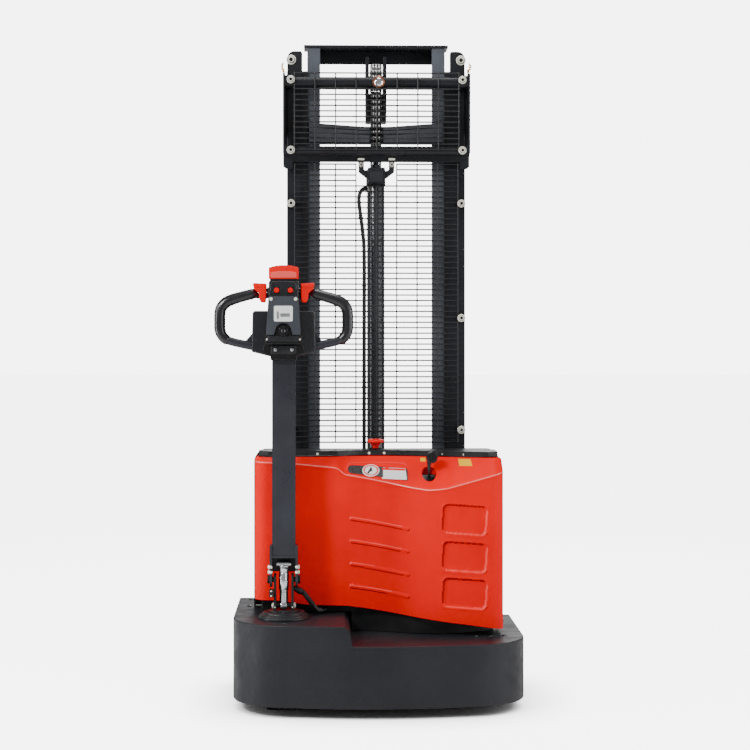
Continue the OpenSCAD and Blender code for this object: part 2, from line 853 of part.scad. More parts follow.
// ---- carriage and forks ----

module carriage_frame() {
  color("#2b2d30") {
    both_sides() {
      block([plate_x0, 487, carriage_z0], [plate_x1, 651, carriage_z1]);
      for (z = carriage_roller_z) rod_along_x(12, plate_x1 - 1, 202, mast_mid_y, z);
    }
    for (z = [carriage_z0 + 6, carriage_z1 - 60])
      block([-fork_spread / 2, 650, z], [fork_spread / 2, heel_y, z + 60]);
    block([-plate_x0 - 1, 575, 330], [plate_x0 + 1, 590, 372]);
    block([-18, 537.5, 330], [18, 576, chain_bolt_z - 0.4]);
    rod_along_z(6, 300, 331, 0, front_strand_y + 5);
  }
}

module carriage_rollers(z) {
  color("#8b8e92") both_sides() difference() {
    rod_along_x(roller_r, inner_x0, 203, mast_mid_y, z);
    rod_along_x(12.05, inner_x0 - 1, 204, mast_mid_y, z);
  }
}

module carriage_upper_rollers() { carriage_rollers(carriage_roller_z[1]); }
module carriage_lower_rollers() { carriage_rollers(carriage_roller_z[0]); }

module fork() {
  half = fork_w / 2;
  tip_l = 90;
  color("#1f2124") difference() {
    union() {
      intersection() {
        block([fork_x - half, fork_y0 - 1, fork_side_z], [fork_x + half, fork_y1, fork_top_z]);
        translate([0, 0, 0]) linear_extrude(200) polygon([
          [fork_x - half, 0], [fork_x + half, 0], [fork_x + half, fork_y1 - tip_l],
          [fork_x + half - 18, fork_y1 - 30], [fork_x + 40, fork_y1],
          [fork_x - 40, fork_y1], [fork_x - half + 18, fork_y1 - 30],
          [fork_x - half, fork_y1 - tip_l]
        ]);
        sideways(0, 400) polygon([
          [0, 0], [fork_y1 - 160, 0], [fork_y1, fork_top_z - 22], [fork_y1, fork_top_z], [0, fork_top_z]
        ]);
      }
      block([fork_x - half, heel_y, fork_top_z - fork_wall], [fork_x + half, fork_y0, carriage_z1]);
      block([fork_x - half, heel_y, fork_side_z], [fork_x - half + fork_wall, fork_y0, 120]);
      block([fork_x + half - fork_wall, heel_y, fork_side_z], [fork_x + half, fork_y0, 120]);
    }
    block([fork_x - half + fork_wall, fork_y0 - 2, 0],
      [fork_x + half - fork_wall, fork_y1 - 120, fork_top_z - fork_wall]);
  }
}

module fork_left() { mirror([1, 0, 0]) fork(); }
module fork_right() { fork(); }

// ---- drive unit, steering and caster ----

module at_tiller() { translate([tiller_x, 0, 0]) children(); }

module steering_collar() {
  color("#1b1c1f") at_tiller() translate([0, tiller_y, deck_high_z]) rotate_extrude()
    polygon([[47, 0], [74, 0], [74, 8], [70, 13], [66, 13], [62, 20], [47, 20]]);
}

module steering_yoke() {
  plate_x0 = 22;
  plate_x1 = 29;
  color("#17181a") at_tiller() {
    rod_along_z(steer_shaft_r, 236, 288, 0, tiller_y);
    both_sides() difference() {
      hull() {
        rod_along_x(18, plate_x0, plate_x1, hinge_y, hinge_z);
        block([plate_x0, 155, 286], [plate_x1, 205, 292]);
      }
      rod_along_x(hinge_r - 0.5, 0, 60, hinge_y, hinge_z);
    }
    both_sides() {
      rod_along_x(hinge_r, plate_x0, 48, hinge_y, hinge_z);
      rod_along_x(12, 41.5, 48, hinge_y, hinge_z);
    }
    rod_along_x(6, -plate_x0, plate_x0, strut_foot_y, strut_foot_z);
  }
}

wheel_x0 = -50;                    // drive wheel, relative to the steering axis
wheel_x1 = 20;
axle_z = drive_wheel_d / 2;

module drive_gearbox() {
  color("#6d7176") at_tiller() {
    rod_along_z(100, 219, 236, 0, tiller_y);
    block([26, tiller_y - 50, 40], [44, tiller_y + 50, 220]);
    rod_along_x(24, wheel_x0 - 1, 27, tiller_y, axle_z);
    rod_along_x(34, 22, 27, tiller_y, axle_z);
  }
}

module drive_motor() {
  color("#3c3f44") at_tiller() {
    rod_along_x(45, 44, 118, tiller_y, axle_z);
    rod_along_x(30, 117, 124, tiller_y, axle_z);
  }
}

module drive_wheel() {
  color("#1a1a1c") at_tiller() difference() {
    rod_along_x(axle_z, wheel_x0, wheel_x1, tiller_y, axle_z, $fn = 72);
    rod_along_x(24.05, wheel_x0 - 1, wheel_x1 + 1, tiller_y, axle_z);
    rod_along_x(70, wheel_x0 - 1, wheel_x0 + 12, tiller_y, axle_z);
  }
}

caster_axle_y = caster_y + caster_trail;
caster_axle_z = caster_wheel_d / 2;

module caster_fork() {
  color("#8b8e92") {
    rod_along_z(12, 160, 190, caster_x, caster_y);
    rod_along_z(34, 150, 160, caster_x, caster_y);
    block([caster_x - 34, caster_y - 30, 142], [caster_x + 34, caster_axle_y + 16, 151]);
    for (s = [-1, 1]) translate([caster_x, 0, 0]) hull() {
      rod_along_x(16, min(s * 28, s * 34), max(s * 28, s * 34), caster_axle_y, caster_axle_z);
      block([min(s * 28, s * 34), caster_y - 20, 142], [max(s * 28, s * 34), caster_axle_y + 16, 146]);
    }
    rod_along_x(7.95, caster_x - 38, caster_x + 38, caster_axle_y, caster_axle_z);
  }
}

module caster_wheel() {
  color("#1a1a1c") difference() {
    rod_along_x(caster_axle_z, caster_x - 24, caster_x + 24, caster_axle_y, caster_axle_z, $fn = 64);
    rod_along_x(8, caster_x - 25, caster_x + 25, caster_axle_y, caster_axle_z);
  }
}

// ---- tiller ----

conduit_points = [
  [50, 196, 338], [58, 199, 333], [67, 204, 321], [79, 214, 304], [88, 227, 289],
  [96, 243, 277.5], [105, 260, 272.5], [118, 284, 271.8]
];

module tiller_conduit() {
  color("#16171a") at_tiller() tube_along(curve(conduit_points, 3), 8, [0.6, -1, 0.3], 10);
}

module tiller_arm() {
  ear_x1 = 41;
  color("#34373b") at_tiller() {
    difference() {
      block([-arm_half_w, arm_y0, arm_z0], [arm_half_w, arm_y1, arm_z1]);
      block([-arm_half_w + 3, arm_y0 + 3, arm_z0 + 5], [arm_half_w - 3, arm_y1 - 3, arm_z1 + 1]);
    }
    both_sides() {
      difference() {
        hull() {
          rod_along_x(22, arm_half_w, ear_x1, hinge_y, hinge_z);
          block([arm_half_w, arm_y0 - 4, arm_z0 + 30], [ear_x1, arm_y1 + 4, arm_z0 + 36]);
        }
        rod_along_x(hinge_r + 0.05, 0, 60, hinge_y, hinge_z);
      }
      for (z = [397, 412]) rod_along_x(5, ear_x1 - 0.5, ear_x1 + 4, 176, z);
    }
    block([-ear_x1, arm_y0 - 4, arm_z0 - 0.5], [ear_x1, arm_y1 + 4, arm_z0 + 5]);
  }
}

module tiller_head() {
  color("#1c1e21") at_tiller() difference() {
    union() {
      hull() {
        block([-90, 152, 1050], [90, 204, 1152]);
        block([-60, 150, 1026], [60, 205, 1030]);
      }
      block([-43, head_front_y, 1062], [43, 206, head_top_z]);
      block([-38, 160, 1018], [38, 210, 1030]);
    }
    rod_along_x(6.06, -60, 60, throttle_y, throttle_z);
    block([-15.4, 175.6, 1218], [15.4, 200.4, 1246]);
    for (s = [-1, 1]) rod_along_y(button_r + 0.06, head_front_y - 1, head_front_y + 10,
      s * button_x, throttle_z);
    block([-arm_half_w - 0.2, arm_y0 - 0.2, 1010], [arm_half_w + 0.2, arm_y1 + 0.2, arm_z1 + 0.2]);
  }
}

module tiller_cover() {
  color("#6b7077") at_tiller() difference() {
    upright(116, head_front_y) polygon([
      [-44, 1198], [44, 1198], [52, 1084], [52, 1062], [-52, 1062], [-52, 1084]
    ]);
    rod_along_y(14.06, 110, head_front_y - 2, 0, key_z);
  }
}

handle_points = [
  [-90, 1207], [-120, 1199], [-150, 1190], [-170, 1180], [-182, 1165], [-185.6, 1148],
  [-186, 1126], [-185.6, 1105], [-180.5, 1088], [-168, 1074], [-148, 1067], [-118, 1060], [-84, 1053]
];
handle_y = 176;
handle_r = handle_half_w - 186;

module tiller_handles() {
  path = [for (p = curve(handle_points, 2)) [p[0], handle_y, p[1]]];
  color("#141517") at_tiller() both_sides() difference() {
    union() {
      tube_along(path, handle_r, [0, 1, 0], 12);
      block([-108, 178, 1190], [-90.5, 204, 1212]);
      block([-92, 190, 1194], [-43.1, 204, 1210]);
    }
    block([-90.3, 100, 1000], [0, 250, 1100]);
  }
}

module belly_button() {
  color("#e5140f") at_tiller() translate([0, 0, 1246]) {
    upright(142, 204) polygon(concat(
      [[43, 3], [43, 30]],
      [for (i = [0:8]) let (x = 43 - 86 * i / 8) [x * 0.98, 43 - 7 * x * x / (43 * 43)]],
      [[-43, 30], [-43, 3]]
    ));
    block([-15, 176, -17], [15, 200, 4]);
  }
}

module throttle() {
  color("#e5140f") at_tiller() {
    rod_along_x(6, -50, 50, throttle_y, throttle_z);
    both_sides() {
      sideways(49, 70) polygon([
        [throttle_y - 16, 1236], [throttle_y + 12, 1236], [throttle_y + 14, 1200],
        [throttle_y + 6, 1183], [throttle_y - 8, 1183], [throttle_y - 14, 1200]
      ]);
      sideways(69, 86) polygon([
        [throttle_y - 20, 1236], [throttle_y + 8, 1236], [throttle_y + 4, 1222], [throttle_y - 16, 1222]
      ]);
    }
  }
}

module push_button(x) {
  color("#e5140f") at_tiller()
    rod_along_y(button_r, head_front_y - 4, head_front_y + 6, x, throttle_z);
}

module lift_button() { push_button(-button_x); }
module lower_button() { push_button(button_x); }

module key_switch() {
  color("#0e0f10") at_tiller() {
    rod_along_y(14, 112, head_front_y - 2.1, 0, key_z);
    block([-1.5, 92, key_z - 12], [1.5, 113, key_z + 10]);
  }
}

// Both halves of the strut are drawn upright from its foot, then leaned onto its axis
module on_strut() {
  at_tiller() translate([0, strut_foot_y, strut_foot_z]) rotate([-strut_tilt, 0, 0]) children();
}

module gas_spring_barrel() {
  color("#b9bdc2") on_strut() {
    difference() {
      cylinder_between(12.5, 46, strut_len - 4);
      translate([0, 0, 45]) cylinder(r = 10.06, h = 61);
    }
    rod_along_x(7, -21, 21, 0, strut_len);
  }
}

module cylinder_between(r, z0, z1) { translate([0, 0, z0]) cylinder(r = r, h = z1 - z0); }

module gas_spring_rod() {
  color("#c4c8cc") on_strut() difference() {
    union() {
      cylinder_between(10, 4, 68);
      rod_along_x(11, -9, 9, 0, 0);
    }
    rod_along_x(6.05, -10, 10, 0, 0);
  }
}

// ---- assembly ----

placed() base_cover();
placed() base_frame();
placed() leg_left();
placed() leg_right();
placed() leg_axles();
placed() battery_tray();
placed() hood_cover();
placed() hood_shell();
placed() batteries();
placed() oil_tank();
placed() pump_motor();
placed() motor_controller();
placed() battery_charger();
placed() charger_lead();
placed() charger_plug();
placed() indicator_panel();
placed() stop_button_base();
placed() outer_mast_channels();
placed() outer_mast_ties();
placed() guard_frame();
placed() guard_mesh();
placed() guard_bolts();
placed() lift_cylinder();
placed() cylinder_clamp();
placed() lift_hose();
placed() chain_rear();
placed() steering_collar();
placed() tiller_conduit();
placed() inner_mast_channels();
placed() inner_mast_ties();
placed() pulley_bracket();
placed() lift_rod();
placed() chain_front();
placed() chain_pulley();
placed() inner_mast_rollers();
placed() carriage_frame();
placed() fork_left();
placed() fork_right();
placed() carriage_upper_rollers();
placed() carriage_lower_rollers();
placed() steering_yoke();
placed() drive_gearbox();
placed() drive_motor();
placed() drive_wheel();
placed() caster_fork();
placed() caster_wheel();
placed() load_wheel_left();
placed() load_wheel_right();
placed() tiller_arm();
placed() tiller_head();
placed() tiller_cover();
placed() tiller_handles();
placed() belly_button();
placed() throttle();
placed() lift_button();
placed() lower_button();
placed() key_switch();
placed() gas_spring_barrel();
placed() gas_spring_rod();
placed() stop_button();
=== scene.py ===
# Looks of the walkie stacker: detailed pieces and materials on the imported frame.
# Shapes are written in the machine's millimetres: X to the operator's right from the centre
# plane, Y from the operator's face of the base cover towards the forks, Z up from the floor.
from math import cos, hypot, pi, radians, sin, sqrt, tan

import bmesh
import bpy
from mathutils import Matrix, Vector
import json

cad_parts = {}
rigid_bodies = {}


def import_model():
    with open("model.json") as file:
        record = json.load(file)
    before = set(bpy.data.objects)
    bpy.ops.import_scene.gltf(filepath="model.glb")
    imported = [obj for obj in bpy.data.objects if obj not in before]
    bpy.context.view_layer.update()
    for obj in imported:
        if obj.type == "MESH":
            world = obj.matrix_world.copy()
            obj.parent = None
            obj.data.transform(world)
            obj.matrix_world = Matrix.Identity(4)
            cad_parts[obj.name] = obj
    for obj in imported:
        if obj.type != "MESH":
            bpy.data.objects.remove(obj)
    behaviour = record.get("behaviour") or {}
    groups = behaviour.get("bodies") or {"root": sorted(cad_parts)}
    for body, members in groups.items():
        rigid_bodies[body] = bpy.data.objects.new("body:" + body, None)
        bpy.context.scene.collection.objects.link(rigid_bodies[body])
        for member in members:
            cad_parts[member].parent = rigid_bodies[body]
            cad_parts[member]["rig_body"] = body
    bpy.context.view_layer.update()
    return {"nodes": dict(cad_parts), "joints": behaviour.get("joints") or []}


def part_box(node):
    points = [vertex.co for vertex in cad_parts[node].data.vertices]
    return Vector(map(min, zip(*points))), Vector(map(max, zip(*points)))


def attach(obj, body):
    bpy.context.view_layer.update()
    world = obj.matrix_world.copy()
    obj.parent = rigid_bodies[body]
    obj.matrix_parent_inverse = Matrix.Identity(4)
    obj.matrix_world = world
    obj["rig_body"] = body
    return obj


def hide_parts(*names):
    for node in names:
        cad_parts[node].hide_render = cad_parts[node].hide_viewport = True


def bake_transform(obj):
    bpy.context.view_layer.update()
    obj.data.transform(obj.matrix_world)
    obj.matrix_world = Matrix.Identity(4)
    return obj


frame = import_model()
NODES = frame["nodes"]
base_lo, base_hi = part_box("base_cover")
MID_X, BASE_Y = (base_lo.x + base_hi.x) / 2, base_lo.y
TO_METRES = Matrix.Translation((MID_X, BASE_Y, 0)) @ Matrix.Scale(0.001, 4)


def at(x, y, z):
    """A point of the machine, in the frame's metres."""
    return TO_METRES @ Vector((x, y, z))


def machine(point):
    """A point of the frame, in the machine's millimetres."""
    return TO_METRES.inverted() @ Vector(point)


def pivot(joint):
    return machine(next(j for j in frame["joints"] if j["name"] == joint)["pos_m"])


# ---------------- main sizes, mm
TX, TY = pivot("steering").xy  # steering axis
HOOD_HALF_W, HOOD_TOP, HOOD_BACK = 366, 725, 372
BROW_TAN = tan(radians(51))
PLUG = Vector((150, 240, 677))  # where the charger lead comes out of the brow
PLUG_HOLE_R = 20.5
LEAD_R = 3.5
CYL_Y, BARREL_R, BARREL_TOP = 506, 27, 1585
PULLEY_Y, PULLEY_Z, CHAIN_R, PITCH = 499, 1880, 42, 18.75
GUARD_BOLT_X = 261
THROTTLE_Z = 1216

# ---------------- materials


def put(node, **values):
    """Sets inputs of a node; a space in an input's name is written as an underscore."""
    for name, value in values.items():
        node.inputs[name.replace("_", " ")].default_value = value


def material(name, color, rough, grain, mottle=0.25, spec=0.5, metal=0.0, spots=None, scuff=None, tint=None,
        rough_var=0.12, lighter_up=0.0):
    """A painted, moulded or turned surface. grain and spots are (size in mm, bump), scuff is (colour,
    amount), tint is a second colour for the large cloudy variation, and the last argument lightens faces
    that look up towards a paler tone."""
    m = bpy.data.materials.new(name)
    m.use_nodes = True
    t = m.node_tree
    n, link = t.nodes, t.links.new
    b = n["Principled BSDF"]
    put(b, Metallic=metal, Specular_IOR_Level=spec)
    co = n.new("ShaderNodeTexCoord").outputs["Object"]

    def noise(size, detail=3.0, rough_=0.55):
        x = n.new("ShaderNodeTexNoise")
        put(x, Scale=1000.0 / size, Detail=detail, Roughness=rough_)
        link(co, x.inputs["Vector"])
        return x.outputs["Fac"]

    def ramp(value, lo, hi, a, c):
        x = n.new("ShaderNodeValToRGB")
        x.color_ramp.elements[0].position, x.color_ramp.elements[1].position = lo, hi
        x.color_ramp.elements[0].color, x.color_ramp.elements[1].color = a, c
        link(value, x.inputs["Fac"])
        return x.outputs["Color"]

    def mixed(mask, under, over):
        x = n.new("ShaderNodeMix")
        x.data_type = "RGBA"
        link(mask, x.inputs["Factor"])
        link(under, x.inputs["A"])
        x.inputs["B"].default_value = (*over, 1)
        return x.outputs["Result"]

    dark = [c * (1 - mottle) for c in color] + [1]
    light = list(tint or [min(1, c * (1 + mottle) + 0.002) for c in color]) + [1]
    shade = ramp(noise(170, 5.0), 0.3, 0.7, dark, light)
    if scuff:
        worn = ramp(noise(26, 8.0, 0.7), 0.62, 0.72, (0, 0, 0, 1), (scuff[1],) * 3 + (1,))
        shade = mixed(worn, shade, scuff[0])
    # Faces that look up are mixed towards a paler tone.
    if lighter_up:
        up = n.new("ShaderNodeSeparateXYZ")
        link(n.new("ShaderNodeNewGeometry").outputs["Normal"], up.inputs["Vector"])
        level = ramp(up.outputs["Z"], 0.6, 1.0, (0, 0, 0, 1), (lighter_up,) * 3 + (1,))
        shade = mixed(level, shade, [c * 0.6 + 0.06 for c in color])
    link(shade, b.inputs["Base Color"])
    lo, hi = max(0.03, rough - rough_var), min(1, rough + rough_var)
    link(ramp(noise(60, 6.0), 0.3, 0.7, (lo, lo, lo, 1), (hi, hi, hi, 1)), b.inputs["Roughness"])
    normal = None
    for size, strength in filter(None, (grain, spots)):
        x = n.new("ShaderNodeBump")
        put(x, Strength=strength, Distance=size / 2500)
        link(noise(size, 2.0), x.inputs["Height"])
        if normal:
            link(normal, x.inputs["Normal"])
        normal = x.outputs["Normal"]
    if normal:
        link(normal, b.inputs["Normal"])
    return m


M = {
    "cover": material("cover_black", (0.013, 0.014, 0.018), 0.44, (2.4, 0.3), 0.2, 0.3, spots=(9, 0.1),
        scuff=((0.03, 0.031, 0.034), 0.2), lighter_up=0.05),
    "frame": material("frame_black", (0.012, 0.013, 0.015), 0.4, (3.5, 0.12), 0.3, 0.3, lighter_up=0.05),
    "mast": material("mast_black", (0.011, 0.012, 0.015), 0.36, (4.0, 0.14), 0.3, 0.3,
        scuff=((0.03, 0.032, 0.036), 0.25)),
    # Lighter than the mast's black: a painted sheen for the reflection on the inner mast's flat faces.
    "inner": material("inner_mast_painted_sheen", (0.075, 0.083, 0.098), 0.34, (5.0, 0.12), 0.25, 0.4,
        scuff=((0.11, 0.12, 0.14), 0.3)),
    "barrel": material("barrel_black", (0.03, 0.033, 0.04), 0.24, (6, 0.06), 0.2, 0.7),
    "fork": material("fork_black", (0.014, 0.015, 0.017), 0.36, (5, 0.12), 0.3, 0.35,
        scuff=((0.1, 0.1, 0.105), 0.45), lighter_up=0.1),
    "red": material("hood_red", (0.88, 0.0006, 0.0003), 0.24, (14, 0.03), 0.04, 0.03,
        tint=(0.93, 0.001, 0.0006), rough_var=0.05),
    "red_face": material("hood_red_grained", (0.86, 0.0008, 0.0004), 0.5, (1.9, 0.7), 0.06, 0.06,
        spots=(6, 0.15), tint=(0.93, 0.001, 0.0006), rough_var=0.08),
    # A pinker red for the rounding along the crease: a painted highlight.
    "red_crease_highlight": material("hood_crease_painted_highlight", (0.95, 0.16, 0.13), 0.25, (14, 0.03), 0.05, 0.5),
    # Lit and shaded copies of the grained red: painted shade and painted highlight for the slopes of the
    # hood's relief.
    "red_painted_shade": material("hood_red_shade", (0.36, 0.0004, 0.0002), 0.5, (1.9, 0.5), 0.1, 0.06),
    "red_light": material("hood_red_lit", (0.94, 0.035, 0.028), 0.4, (1.9, 0.5), 0.05, 0.3),
    "shell": material("hood_black", (0.013, 0.014, 0.016), 0.34, (1.6, 0.25), 0.2, 0.4, lighter_up=0.05),
    "tray": material("tray_black", (0.008, 0.008, 0.009), 0.4, (3, 0.15), spec=0.3),
    "battery": material("battery_case", (0.025, 0.027, 0.031), 0.35, (4, 0.1), spec=0.4),
    "tank": material("tank_white", (0.62, 0.63, 0.62), 0.45, (3, 0.1), 0.08),
    "motor": material("motor_black", (0.018, 0.019, 0.022), 0.4, (3, 0.2), spec=0.35),
    "alu": material("cast_aluminium", (0.42, 0.43, 0.44), 0.42, (1.8, 0.45), 0.15, metal=1.0),
    "charger": material("charger_grey", (0.22, 0.23, 0.24), 0.4, (3, 0.15)),
    "rubber": material("lead_rubber", (0.009, 0.009, 0.01), 0.5, (1.5, 0.3), 0.2, 0.35),
    "hose": material("hose_rubber", (0.01, 0.01, 0.011), 0.4, (1.2, 0.35), 0.2, 0.4),
    "plug": material("plug_black", (0.006, 0.006, 0.007), 0.26, (2.5, 0.12), 0.2, 0.45),
    "panel": material("panel_black", (0.006, 0.006, 0.007), 0.3, (2.0, 0.2), 0.2, 0.4),
    "gloss": material("button_red", (0.86, 0.001, 0.0006), 0.2, (8, 0.03), 0.06, 0.16, rough_var=0.05),
    "wire": material("wire_black", (0.01, 0.01, 0.012), 0.4, (2.5, 0.2), spec=0.4),
    "zinc": material("fastener_zinc", (0.97, 0.91, 0.8), 0.26, (1.2, 0.15), 0.08, metal=0.25),
    "chain": material("chain_steel", (0.035, 0.033, 0.031), 0.3, (2.5, 0.25), 0.4, metal=0.8),
    "pins": material("chain_pins", (0.82, 0.81, 0.79), 0.35, (2.5, 0.2), 0.3, metal=0.2),
    "roller": material("roller_steel", (0.42, 0.42, 0.43), 0.32, (1.5, 0.2), 0.2, metal=1.0),
    "axle": material("axle_steel", (0.5, 0.5, 0.51), 0.3, (1.5, 0.2), 0.15, metal=1.0),
    "chrome": material("rod_chrome", (0.78, 0.79, 0.81), 0.1, (9, 0.03), 0.05, metal=1.0, rough_var=0.04),
    "tyre": material("tyre_black", (0.012, 0.012, 0.013), 0.72, (2.0, 0.5), 0.3, 0.3,
        scuff=((0.04, 0.038, 0.036), 0.5)),
    "poly": material("wheel_poly", (0.5, 0.24, 0.05), 0.42, (3, 0.12), 0.15),
    "arm": material("tiller_metal", (0.026, 0.028, 0.036), 0.36, (1.5, 0.35), 0.2, 0.35),
    "plastic": material("tiller_plastic", (0.011, 0.012, 0.015), 0.26, (1.3, 0.25), 0.2, 0.6),
    "grey": material("tiller_grey", (0.04, 0.045, 0.056), 0.42, (1.1, 0.45), 0.12, 0.45),
    "grip": material("grip_rubber", (0.008, 0.008, 0.01), 0.27, (1.2, 0.3), 0.2, 0.65),
    "steel": material("strut_steel", (0.7, 0.72, 0.75), 0.18, (1.6, 0.12), 0.1, metal=1.0, rough_var=0.06),
    "white": material("label_white", (0.86, 0.87, 0.86), 0.35, (3, 0.05), 0.03),
    "yellow": material("label_yellow", (0.9, 0.47, 0.0), 0.4, (3, 0.05), 0.04, 0.1),
    # A lighter red for the belly's lower band: a painted highlight.
    "pink": material("belly_painted_highlight", (0.9, 0.09, 0.075), 0.35, (4, 0.05), 0.05),
    "copper": material("bolt_copper", (0.75, 0.26, 0.12), 0.25, (1.5, 0.15), 0.15, metal=1.0),
    "gold": material("clip_gold", (0.6, 0.34, 0.055), 0.25, (1.5, 0.15), 0.15, metal=1.0),
}

# ---------------- mesh helpers

bm = bmesh.new()  # the mesh being built: the helpers below add to it, and piece() takes it


def up(x, y, z=0.0):
    """Places (u, v, w) with w along +Z."""
    return lambda u, v, w: (x + u, y + v, z + w)


def out(x, y, z):
    """Places (u, v, w) with u to the right, v up and w towards the operator."""
    return lambda u, v, w: (x + u, y - w, z + v)


def right(x, y, z):
    """Places (u, v, w) with w along +X, u along +Y and v up."""
    return lambda u, v, w: (x + w, y + u, z + v)


def left(x, y, z):
    """The mirror of right."""
    return lambda u, v, w: (x - w, y + u, z + v)


def side(s, x, y, z):
    return (right if s > 0 else left)(x, y, z)


def skin(a, b):
    """Quads between two closed loops of vertices."""
    for k, low in enumerate(a):
        m = (k + 1) % len(a)
        bm.faces.new((low, a[m], b[m], b[k]))


def box(lo, hi):
    p = [(x, y, z) for z in (lo[2], hi[2]) for y in (lo[1], hi[1]) for x in (lo[0], hi[0])]
    v = [bm.verts.new(c) for c in p]
    for f in ((0, 2, 3, 1), (4, 5, 7, 6), (0, 1, 5, 4), (2, 6, 7, 3), (0, 4, 6, 2), (1, 3, 7, 5)):
        bm.faces.new([v[i] for i in f])


def prism(outline, place, w0, w1):
    """A closed outline of (u, v) extruded from w0 to w1."""
    a, b = ([bm.verts.new(place(u, v, w)) for u, v in outline] for w in (w0, w1))
    bm.faces.new(a[::-1])
    bm.faces.new(b)
    skin(a, b)


def lathe(profile, place, sides=32):
    """A profile of (radius, w) turned round the w axis; open ends with a radius are closed by a disc."""
    turn = [2 * pi * k / sides for k in range(sides)]
    rings = [[bm.verts.new(place(r * cos(a), r * sin(a), w)) for a in (turn if r > 1e-6 else (0,))]
        for r, w in profile]
    for a, b in zip(rings, rings[1:]):
        if len(a) == len(b) > 1:
            skin(a, b)
        elif len(a) != len(b):
            for k in range(sides):
                m = (k + 1) % sides
                bm.faces.new((a[k], a[m], b[0]) if len(a) > 1 else (a[0], b[m], b[k]))
    if profile[0] == profile[-1]:
        bmesh.ops.remove_doubles(bm, verts=rings[0] + rings[-1], dist=1e-4)
    else:
        for end in (rings[0], rings[-1]):
            if len(end) > 1:
                bm.faces.new(end)


def pin(r, w0, w1, place, sides):
    lathe([(0, w0), (r, w0), (r, w1), (0, w1)], place, sides)


def both_ways(profile):
    """A closed profile from the half with w below 0."""
    whole = profile + [(r, -w) for r, w in profile[::-1]]
    return whole + [whole[0]]


def curve(points, steps):
    """Catmull-Rom curve through the given points."""
    p = [Vector(q) for q in points]
    found = []
    for i in range(len(p) - 1):
        a, b, c, d = p[max(i - 1, 0)], p[i], p[i + 1], p[min(i + 2, len(p) - 1)]
        for k in range(steps):
            t = k / steps
            found.append(0.5 * (2 * b + (c - a) * t + (2 * a - 5 * b + 4 * c - d) * t ** 2
                + (3 * b - a - 3 * c + d) * t ** 3))
    return found + [p[-1]]


def sweep(path, radius, sides=12, round_ends=False):
    """A round tube along a path. radius is a number or a function of the share of the path."""
    path = [Vector(p) for p in path]
    size = radius if callable(radius) else (lambda t: radius)
    n = len(path)
    side, rings = None, []
    turn = [2 * pi * k / sides for k in range(sides)]
    stations = [(p, size(i / (n - 1))) for i, p in enumerate(path)]
    if round_ends:
        def cap(p, q, r):
            d = (p - q).normalized()
            return [(p + d * r * sin(a), max(r * cos(a), r * 0.08)) for a in (0.5, 0.95, 1.3, 1.5)]
        head, tail = stations[0][1], stations[-1][1]
        stations = cap(path[0], path[1], head)[::-1] + stations + cap(path[-1], path[-2], tail)
    for i, (p, r) in enumerate(stations):
        t = (stations[min(i + 1, len(stations) - 1)][0] - stations[max(i - 1, 0)][0]).normalized()
        if side is None:
            side = t.cross(Vector((0.31, 0.17, 0.94)))
            if side.length < 0.1:
                side = t.cross(Vector((0.94, 0.17, 0.31)))
        side = (side - t * side.dot(t)).normalized()
        over = t.cross(side)
        rings.append([bm.verts.new(p + (side * cos(a) + over * sin(a)) * r) for a in turn])
    for a, b in zip(rings, rings[1:]):
        skin(a, b)
    bm.faces.new(rings[0][::-1])
    bm.faces.new(rings[-1])


def rounded(points, radius, steps=4):
    """An outline with its corners rounded; a corner may bring its own radius as a third value."""
    n, found = len(points), []
    for i in range(n):
        p = Vector(points[i][:2])
        r = points[i][2] if len(points[i]) > 2 else radius
        a = (Vector(points[i - 1][:2]) - p).normalized()
        b = (Vector(points[(i + 1) % n][:2]) - p).normalized()
        half = a.angle(b) / 2
        if r <= 0 or abs(half - pi / 2) < 0.01:
            found.append(tuple(p))
            continue
        start, end = p + a * r / tan(half), p + b * r / tan(half)
        centre = p + (a + b).normalized() * r / sin(half)
        for k in range(steps + 1):
            way = start.lerp(end, k / steps) - centre
            found.append(tuple(centre + way.normalized() * r))
    return found


def rect(x0, z0, x1, z1, radius):
    return rounded([(x0, z0), (x1, z0), (x1, z1), (x0, z1)], radius)


def mirrored(half):
    """A whole outline from its right half, given from the bottom to the top."""
    return half + [(-x, *more) for x, *more in half[::-1]]


def smooth(t):
    t = min(1.0, max(0.0, t))
    return t * t * (3 - 2 * t)


def soften(obj, angle=35):
    obj.data.polygons.foreach_set("use_smooth", [True] * len(obj.data.polygons))
    obj.data.set_sharp_from_angle(angle=radians(angle))


def bevel(obj, width, segments=2, angle=32):
    b = obj.modifiers.new("edges", "BEVEL")
    b.width, b.segments, b.limit_method = width / 1000, segments, "ANGLE"
    b.angle_limit = radians(angle)
    b.harden_normals = True
    b.miter_outer = "MITER_ARC"


def add(name, data):
    o = bpy.data.objects.new(name, data)
    bpy.context.scene.collection.objects.link(o)
    return o


def finished(name):
    """Takes the mesh being built, in metres, and starts the next one."""
    global bm
    bmesh.ops.recalc_face_normals(bm, faces=bm.faces)
    me = bpy.data.meshes.new(name)
    bm.to_mesh(me)
    bm.free()
    bm = bmesh.new()
    me.transform(TO_METRES)
    return me


def piece(name, mat, body="chassis", replaces=(), edge=0.0, segments=2, angle=35):
    o = add(name, finished(name))
    keys = [mat] if isinstance(mat, str) else mat
    for key in keys:
        o.data.materials.append(M[key])
    soften(o, angle)
    if edge:
        bevel(o, edge, segments)
    if body:
        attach(o, body)
    if replaces:
        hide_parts(replaces)
    return o


